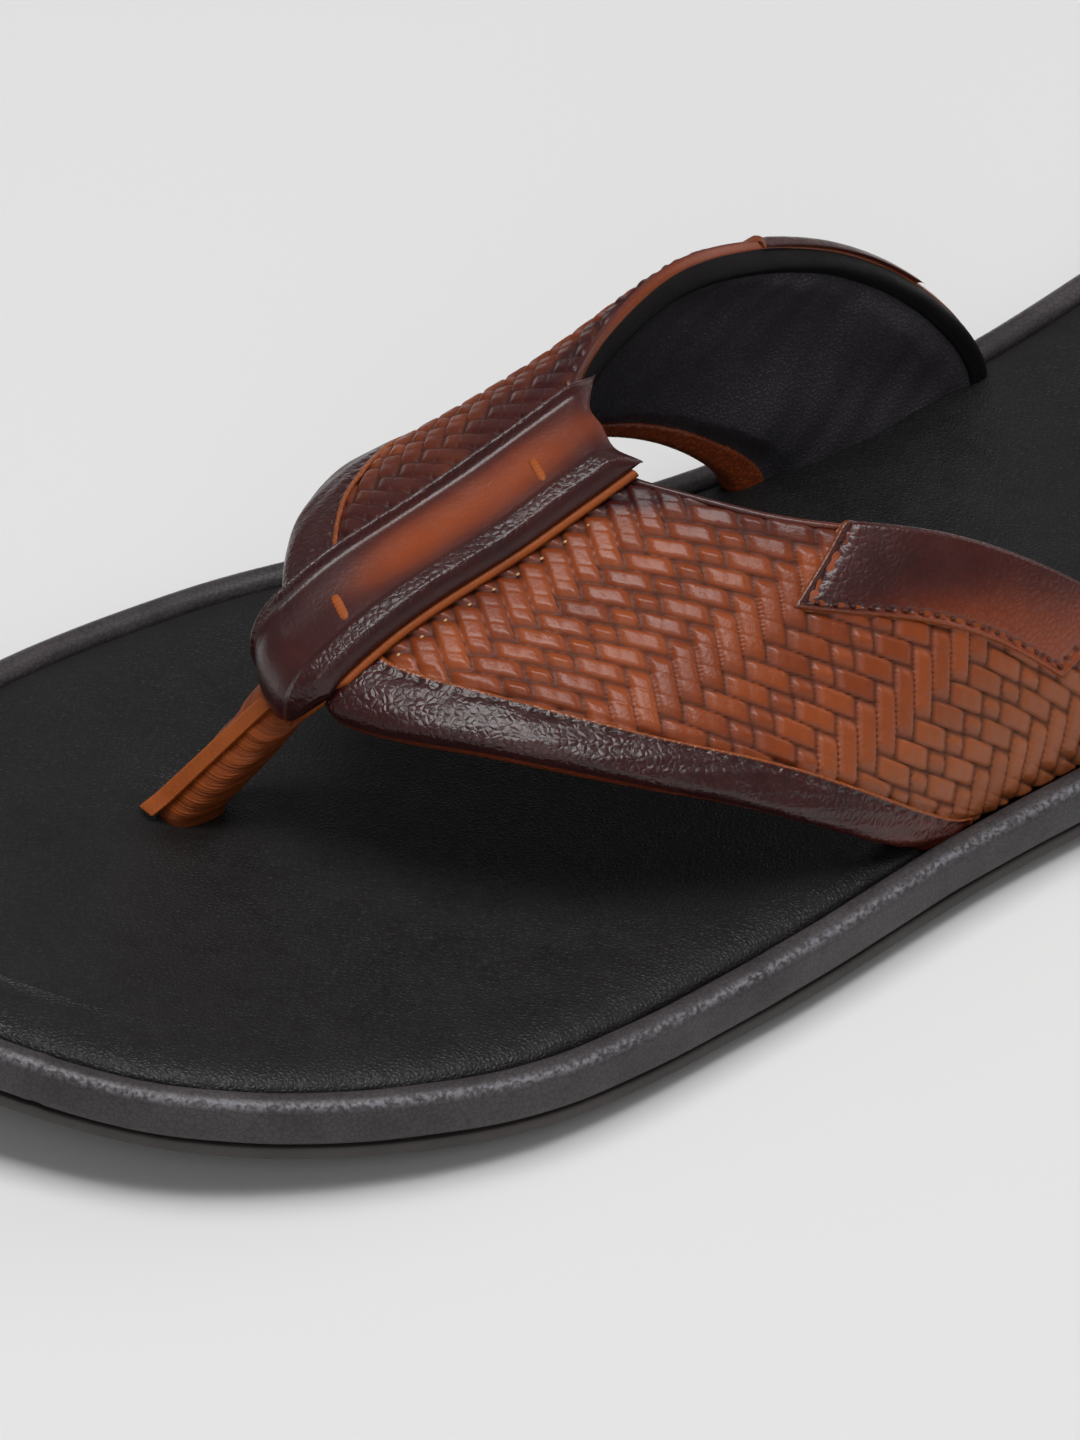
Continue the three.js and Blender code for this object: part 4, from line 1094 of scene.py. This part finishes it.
def make_strip():
    """The tan strip under the band, a thin line on each side that folds down to the post."""
    over, half, share, roll = band_grid(BAND_HALF + STRIP_MARGIN, 160, 60, 112)
    wide = 1 - 0.42 * smooth(roll, 20, 112)
    round_off = -0.35 * np.clip((np.abs(over) - 0.95) / 0.05, 0, 1) ** 2
    out = STRIP_INNER + STRIP_THICKNESS + round_off + 0.9 * smooth(roll, 40, 100)
    share = 0.03 + 0.97 * share
    inner = STRIP_INNER - 0.3 * smooth(roll, 40, 100)
    roll = roll * nose_share(over)
    shown = band_place(over * wide, half, share, roll, out)
    hidden = band_place(over * wide, half, share, roll, inner)
    return plate("under_strip", shown, hidden, {"glow": 0.75}, step=10)


def make_underlay():
    """The leather under the centre, where the two linings meet."""
    y = np.linspace(BAND_REAR - 4, BAND_FRONT + 2, 90)[:, None]
    over = np.linspace(-6.2, 6.2, 40)[None, :]
    top = -STRAP_STACK - 0.3
    sway = ripple((y / 2.7 + over, 0.08), (over / 1.7, 0.05))
    shown, _, _ = crest_place(y, over, top - 0.8 + sway)
    hidden, _, _ = crest_place(y, over, top)
    return plate("underlay_leather", shown, hidden, step=8)


def band_edge(side, out):
    """A seam's path beside the band."""
    over = BAND_SHIFT + side * (BAND_HALF + STRIP_MARGIN + 1.0)
    return crest_place(np.linspace(BAND_REAR - 2, BAND_FRONT + 3, 90), over, out)[0]


def make_tack(name, y):
    """A bar tack: a short ribbed bar of thread laid across the band."""
    turn = math.radians(-16)
    over = np.linspace(-1.95, 1.95, 90)[:, None]
    around = np.linspace(0, 2 * math.pi, 20, endpoint=False)[None, :]
    swell = (1 - np.abs(over / 2.0) ** 6) ** 0.5
    turns = 1 + 0.06 * np.sin(over * 2 * math.pi / 0.6 + np.sin(around))
    x = 0.46 * np.cos(around) * swell * turns
    z = 0.2 * np.sin(around) * swell * turns + BAND_INNER + BAND_THICKNESS - 0.08
    back = y + 0.2 + over * math.sin(turn) + x * math.cos(turn)
    aside = 1.5 + over * math.cos(turn) - x * math.sin(turn)
    place, _, _ = crest_place(back, aside, z)
    # Painted shade darkens the tack's tapered ends.
    return tube("tack_" + name, place, {"glow": 0.9, "hole_and_shade": 0.5 * (1 - swell)})


# ---- The toe post -----------------------------------------------------------------------------
LEAN = POST_TOP - POST_BASE


def post_ring(rise, angle, grow):
    """A place round the post: rise runs from 0 on the footbed to 1 under the strap."""
    lift = np.maximum(rise, 0)
    px, py = (
        POST_BASE[k] + LEAN[k] * lift
        + (POST_HALF[k] + POST_FLARE[k] * lift + grow) * np.sign(turned) * np.abs(turned) ** 0.7
        for k, turned in enumerate((np.cos(angle), np.sin(angle)))
    )
    floor = level(py, SOCK_TOP)
    roof = under_strap(px + (1 - lift) * LEAN[0], py + (1 - lift) * LEAN[1])
    z = np.where(rise < 0, floor + rise * 3, floor + (roof - floor) * lift)
    return np.stack([px, py, z], -1)


def make_sleeve():
    """The wrinkled leather round the post, fuller near its top."""
    rise = np.concatenate([[-0.6, -0.3], np.linspace(0, 1.0, 260)])[:, None]
    angle = np.linspace(0, 2 * math.pi, 110, endpoint=False)[None, :]
    wrinkle = ripple(
        (rise * 250 + 2.4 * np.sin(angle + rise * 9), 0.018),
        (rise * 171 + np.cos(angle * 2) * 1.8, 0.018), (rise * 47 + 2 * np.sin(angle), 0.04),
    ) * smooth(rise, 0, 0.08)
    belly = 0.35 * np.sin(math.pi * np.clip(rise, 0, 1))
    fold = 0.5 * np.exp(-(((rise - 0.9) / 0.09) ** 2)) - 0.2 * np.exp(-(((rise - 0.7) / 0.05) ** 2))
    points = post_ring(rise, angle, wrinkle + (belly + fold))
    # Painted light: painted highlight on the wrinkles' crests and towards the full top, painted
    # shade in the troughs and at the post's foot.
    sleeve_shade = 0.25 * (1 - smooth(wrinkle, -0.07, 0.02)) + 0.5 * (1 - smooth(rise, 0, 0.07))
    marks = {"glow": 0.25 + 0.25 * smooth(rise, 0.5, 0.9) + 2.5 * wrinkle, "hole_and_shade": sleeve_shade}
    return tube("post_sleeve_leather", points, marks)


def make_core():
    """The canvas inside the post, hidden by its sleeve."""
    rise = np.linspace(-0.5, 0.97, 30)[:, None]
    angle = np.linspace(0, 2 * math.pi, 40, endpoint=False)[None, :]
    return tube("post_core_canvas", post_ring(rise, angle, -1.0))


def make_post_fold():
    """The sleeve's leather folded over at the top of the post, under the band's nose."""
    over = np.linspace(-0.62, 1.04, 90)[:, None]
    around = np.linspace(0, 2 * math.pi, 28, endpoint=False)[None, :]
    taper = 1 - smooth(over, 0.0, 0.9)
    crumple = ripple((over * 21, 0.07), (over * 9 + around, 0.06))
    thick = (0.5 + 1.5 * taper) * smooth(over, -0.66, -0.5) ** 0.5 * (1 + crumple)
    roll = (NOSE_ROLL + 12 + math.degrees(1) * thick * np.sin(around) / 4.2) * nose_share(over)
    out = STRIP_INNER + 0.2 + 0.7 * thick * np.cos(around)
    points = band_place(over, BAND_HALF, 1.0, roll, out)
    marks = {"glow": 0.8, "edge": 0.3 + 0.5 * (1 - taper), "pebble": 0.1}
    return tube("post_fold_leather", points, marks)


def make_loop():
    """The flat tan loop up the front of the post, bent forward at its end on the footbed."""
    rise = np.linspace(0.0, 1.1, 130)[:, None]
    front = post_ring(rise, np.full_like(rise, 1.5 * math.pi), 0.45)
    flare = 0.7 * (1 - smooth(rise, 0, 0.2)) ** 2
    section = path_loop([(-1.2, -0.5), (-1.2, 0.5), (1.2, 0.5), (1.2, -0.5)], 44)
    across, thick = section[None, :, 0], section[None, :, 1]
    x = front[..., 0] - 1.4 + across * (1 - 0.1 * rise)
    y = front[..., 1] - flare - thick
    z = front[..., 2] + 0.35
    points = np.stack(np.broadcast_arrays(x, y, z), -1)
    return tube("post_loop_leather", points, {"glow": 0.7 + 0.3 * (np.abs(across) > 0.95)})


# ---- Operators --------------------------------------------------------------------------------
class SANDAL_OT_outsole(bpy.types.Operator):
    """Mould the outsole with its bevelled edge and chevron tread"""

    bl_idname = "sandal.outsole"
    bl_label = "Outsole"

    def execute(self, context):
        colours = context.scene.sandal_colours
        rubber = plain_fibre("moulded_rubber", colours.rubber, tone("453f3d"), 1500, 0.0001, 0.6)
        finish_piece(make_outsole(), rubber, "rubber", "outsole")
        return {"FINISHED"}


class SANDAL_OT_rim(bpy.types.Operator):
    """Draw the rim's leather over the edge of the sole"""

    bl_idname = "sandal.rim"
    bl_label = "Rim leather"

    def execute(self, context):
        scene = context.scene
        leather = grained_leather(
            "rim_satin", scene.sandal_colours.rim, tone("565153"), 0.7 * MM, 0.00002, 0.42,
            # 7c7b80 is the painted highlight along the rim's crest.
            crest=tone("7c7b80"), Specular_IOR_Level=0.3,
        )
        finish_piece(make_rim(), leather, "edge_leather", "rim_wrap")
        return {"FINISHED"}


class SANDAL_OT_footbed(bpy.types.Operator):
    """Lay the padded footbed leather, puckered along its edge"""

    bl_idname = "sandal.footbed"
    bl_label = "Footbed"

    def execute(self, context):
        scene = context.scene
        leather = grained_leather(
            "footbed_grain", scene.sandal_colours.footbed, tone("201e1f"),
            scene.sandal_sizes.fine_grain, 0.00006, 0.45, Specular_IOR_Level=0.3,
        )
        piece = make_footbed()
        finish_piece(piece, leather, "black_leather", "sock_leather")
        return {"FINISHED"}


class SANDAL_OT_inner_layers(bpy.types.Operator):
    """Finish the layers inside the sole and the straps"""

    bl_idname = "sandal.inner_layers"
    bl_label = "Inner layers"

    def execute(self, context):
        foam = plain_fibre("closed_foam", tone("2a2a2c"), tone("48484b"), 2200, 0.0002, 0.9)
        board = plain_fibre("pressed_board", tone("6f5236"), tone("9a7850"), 900, 0.0001, 0.85)
        canvas = plain_fibre("stiff_canvas", tone("93886f"), tone("c8bda4"), 1800, 0.0002, 0.9)
        finish_piece(make_core(), canvas, "canvas", "toe_post_core")
        for node, material in (("midsole", foam), ("foam_pad", foam), ("insole_board", board)):
            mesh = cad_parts[node].data
            mesh.materials.clear()
            mesh.materials.append(material)
        for name, side in SIDES.items():
            finish_piece(make_stiffener(name, side), canvas, "canvas", "wing_stiffener_" + name)
        return {"FINISHED"}


class SANDAL_OT_woven_panels(bpy.types.Operator):
    """Weave the leather strips of both wings"""

    bl_idname = "sandal.woven_panels"
    bl_label = "Woven panels"

    def execute(self, context):
        for name, side in SIDES.items():
            piece = make_panel(name, side, context.scene.sandal_sizes)
            finish_piece(piece, woven_leather(), "woven_leather", "wing_panel_" + name)
        return {"FINISHED"}


class SANDAL_OT_borders(bpy.types.Operator):
    """Fold the borders round the wings' front and rear edges"""

    bl_idname = "sandal.borders"
    bl_label = "Borders"

    def execute(self, context):
        for name, side in SIDES.items():
            piece = make_border(name, side, context.scene.sandal_sizes)
            finish_piece(piece, burgundy_leather(), "burgundy_leather", "wing_border_" + name)
            fold = make_fold("rear_fold_" + name, side, FOLD_PATH)
            finish_piece(fold, burgundy_leather(), "burgundy_leather")
        return {"FINISHED"}


class SANDAL_OT_linings(bpy.types.Operator):
    """Line the inside of both wings and of the centre"""

    bl_idname = "sandal.linings"
    bl_label = "Linings"

    def execute(self, context):
        leather = grained_leather(
            "lining_satin", context.scene.sandal_colours.lining, tone("4a464b"), 0.6 * MM,
            0.00006, 0.38, Specular_IOR_Level=0.4,
        )
        # A darker copy of the lining leather, as painted shade along the lips.
        edge = grained_leather(
            "shaded_lip_satin", tone("0c0a0c"), tone("171517"), 0.6 * MM, 0.00003, 0.6,
            Specular_IOR_Level=0.15,
        )
        for name, side in SIDES.items():
            finish_piece(make_lining(name, side), leather, "lining_leather", "wing_lining_" + name)
            finish_piece(make_fold("lining_lip_" + name, side, LIP_PATH), edge, "lining_leather")
        finish_piece(make_underlay(), leather, "lining_leather", "centre_underlay")
        return {"FINISHED"}


class SANDAL_OT_patches(bpy.types.Operator):
    """Sew the plain patches over the weave"""

    bl_idname = "sandal.patches"
    bl_label = "Patches"

    def execute(self, context):
        for name, side in SIDES.items():
            patch = make_patch(name, side)
            finish_piece(patch, burgundy_leather(), "burgundy_leather", "wing_patch_" + name)
        return {"FINISHED"}


class SANDAL_OT_centre_band(bpy.types.Operator):
    """Shape the ridged centre band, the tan strip under it and its bar tacks"""

    bl_idname = "sandal.centre_band"
    bl_label = "Centre band"

    def execute(self, context):
        finish_piece(make_band(), burgundy_leather(), "burgundy_leather", "centre_band")
        finish_piece(make_strip(), tan_leather(), "tan_leather", "centre_strip")
        for name, y in (("front", -76), ("rear", -50)):
            finish_piece(make_tack(name, y), tan_leather(), "tan_leather", "bar_tack_" + name)
        return {"FINISHED"}


class SANDAL_OT_toe_post(bpy.types.Operator):
    """Wrap the toe post in its wrinkled sleeve and flat loop"""

    bl_idname = "sandal.toe_post"
    bl_label = "Toe post"

    def execute(self, context):
        finish_piece(make_sleeve(), tan_leather(), "tan_leather", "toe_post_sleeve")
        finish_piece(make_loop(), tan_leather(), "tan_leather", "toe_post_loop")
        finish_piece(make_post_fold(), burgundy_leather(), "burgundy_leather")
        return {"FINISHED"}


class SANDAL_OT_seams(bpy.types.Operator):
    """Stitch the borders, the patches and the centre band"""

    bl_idname = "sandal.seams"
    bl_label = "Seams"

    def execute(self, context):
        sizes, colours = context.scene.sandal_sizes, context.scene.sandal_colours
        thread = plain_fibre("dark_thread", colours.thread, tone("5a2c1c"), 5000, 0.0001, 0.7)
        pale = plain_fibre("pale_thread", colours.pale_thread, tone("d8b080"), 5000, 0.0001, 0.7)
        radius = sizes.stitch_radius
        for name, side in SIDES.items():
            start, end = (share + PATCH_SLANT for share in PATCH_REACH[side])
            border = wing_seam(side, lambda span: BORDER_SEAM / span, 0.05, 0.14, 0.99)
            patch = wing_seam(
                side, lambda span: 1 - (PATCH_WIDTH - SEAM_INSET) / span, 0.42,
                start + 0.02, end - 0.02,
            )
            seams = (
                ("border", border, thread, sizes.stitch_pitch, 0.75 * MM, radius),
                ("patch", patch, thread, PATCH_PITCH * MM, 0.7 * MM, radius),
                ("band", band_edge(side, 0.18), pale, BAND_PITCH * MM, 0.5 * MM, radius * 0.7),
            )
            for part, *values in seams:
                stitched(f"{part}_stitches_{name}", *values, f"{part}_thread_{name}")
        return {"FINISHED"}


# ---- The stage, in metres, watts and degrees --------------------------------------------------
LIGHTS = {  # where each stands, its breadth and depth, and its power
    "key": ((0.04, -0.14, 1.3), (1.15, 0.55), 14),
    "back_light": ((0.1, 1.2, 0.7), (1.2, 0.4), 2),
    "fill": ((1.1, -1.0, 0.9), (1.0, 1.0), 4),
}
LIGHT_TARGET, SKY_STRENGTH = Vector((0, -0.05, 0.02)), 0.2
FLOOR_REACH, FLOOR_TONE = 6, (0.76, 0.76, 0.76, 1)
CAMERA_AIM, CAMERA_DISTANCE = Vector((0.00009, -0.05172, 0.0122)), 1.2
CAMERA_TURN, CAMERA_RISE = 51.95, 37.43
LENS_LENGTH, SENSOR_WIDTH, NEAREST = 268, 36, 0.05


def softbox(name, place, size, power):
    light = bpy.data.lights.new(name, "AREA")
    light.shape, light.size, light.size_y, light.energy = "RECTANGLE", size[0], size[1], power
    lamp = bpy.data.objects.new(name, light)
    lamp.location = place
    lamp.rotation_euler = (LIGHT_TARGET - Vector(place)).to_track_quat("-Z", "Y").to_euler()
    bpy.context.scene.collection.objects.link(lamp)


def make_floor():
    """A broad sheet of matt paper under the sandal."""
    paper = bpy.data.materials.new("paper_floor")
    paper.use_nodes = True
    shader = paper.node_tree.nodes["Principled BSDF"]
    shader.inputs["Base Color"].default_value = FLOOR_TONE
    shader.inputs["Roughness"].default_value = 0.95
    shader.inputs["Specular IOR Level"].default_value = 0.1
    mesh = bpy.data.meshes.new("floor")
    sides = ((-1, -1), (1, -1), (1, 1), (-1, 1))
    corners = [(x * FLOOR_REACH, y * FLOOR_REACH, 0) for x, y in sides]
    mesh.from_pydata(corners, [], [(0, 1, 2, 3)])
    mesh.materials.append(paper)
    floor = bpy.data.objects.new("floor", mesh)
    bpy.context.scene.collection.objects.link(floor)
    return floor


def make_sky():
    world = bpy.data.worlds.new("studio")
    world.use_nodes = True
    sky = world.node_tree.nodes["Background"]
    sky.inputs["Color"].default_value = (1, 1, 1, 1)
    sky.inputs["Strength"].default_value = SKY_STRENGTH
    return world


def make_camera():
    lens = bpy.data.cameras.new("camera")
    lens.lens, lens.sensor_width, lens.clip_start = LENS_LENGTH, SENSOR_WIDTH, NEAREST
    camera = bpy.data.objects.new("camera", lens)
    turn, rise = math.radians(CAMERA_TURN), math.radians(CAMERA_RISE)
    flat = math.cos(rise)
    back = Vector((math.sin(turn) * flat, -math.cos(turn) * flat, math.sin(rise)))
    camera.location = CAMERA_AIM + back * CAMERA_DISTANCE
    camera.rotation_euler = (-back).to_track_quat("-Z", "Y").to_euler()
    bpy.context.scene.collection.objects.link(camera)
    return camera


class SANDAL_OT_stage(bpy.types.Operator):
    """Set up the floor, the soft lights and the camera"""

    bl_idname = "sandal.stage"
    bl_label = "Stage"

    def execute(self, context):
        scene = context.scene
        floor = make_floor()
        scene.world = make_sky()
        for name, (place, size, power) in LIGHTS.items():
            softbox(name, place, size, power)
        scene.camera = make_camera()
        scene.view_settings.view_transform = "Standard"
        return {"FINISHED"}


class SANDAL_PT_panel(bpy.types.Panel):
    """Lists the sandal's settings and its pieces"""

    bl_label = "Sandal"
    bl_idname = "SANDAL_PT_panel"
    bl_space_type = "VIEW_3D"
    bl_region_type = "UI"
    bl_category = "Sandal"

    def draw(self, context):
        for settings in (context.scene.sandal_sizes, context.scene.sandal_colours):
            box = self.layout.box()
            for name in settings.__annotations__:
                box.prop(settings, name)
        for operator in OPERATORS:
            self.layout.operator(operator.bl_idname)


OPERATORS = (
    SANDAL_OT_stage, SANDAL_OT_outsole, SANDAL_OT_rim, SANDAL_OT_footbed, SANDAL_OT_inner_layers,
    SANDAL_OT_linings, SANDAL_OT_woven_panels, SANDAL_OT_borders, SANDAL_OT_patches,
    SANDAL_OT_centre_band, SANDAL_OT_toe_post, SANDAL_OT_seams,
)
CLASSES = (SandalSizes, SandalColours, *OPERATORS, SANDAL_PT_panel)


def register():
    for kind in CLASSES:
        bpy.utils.register_class(kind)
    bpy.types.Scene.sandal_sizes = bpy.props.PointerProperty(type=SandalSizes)
    bpy.types.Scene.sandal_colours = bpy.props.PointerProperty(type=SandalColours)


def unregister():
    del bpy.types.Scene.sandal_colours
    del bpy.types.Scene.sandal_sizes
    for kind in reversed(CLASSES):
        bpy.utils.unregister_class(kind)


def corners(box):
    return [[float(v) for v in corner] for corner in box]


def main():
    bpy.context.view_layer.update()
    register()
    for operator in OPERATORS:
        area, action = operator.bl_idname.split(".")
        getattr(getattr(bpy.ops, area), action)()


if __name__ == "__main__":
    main()
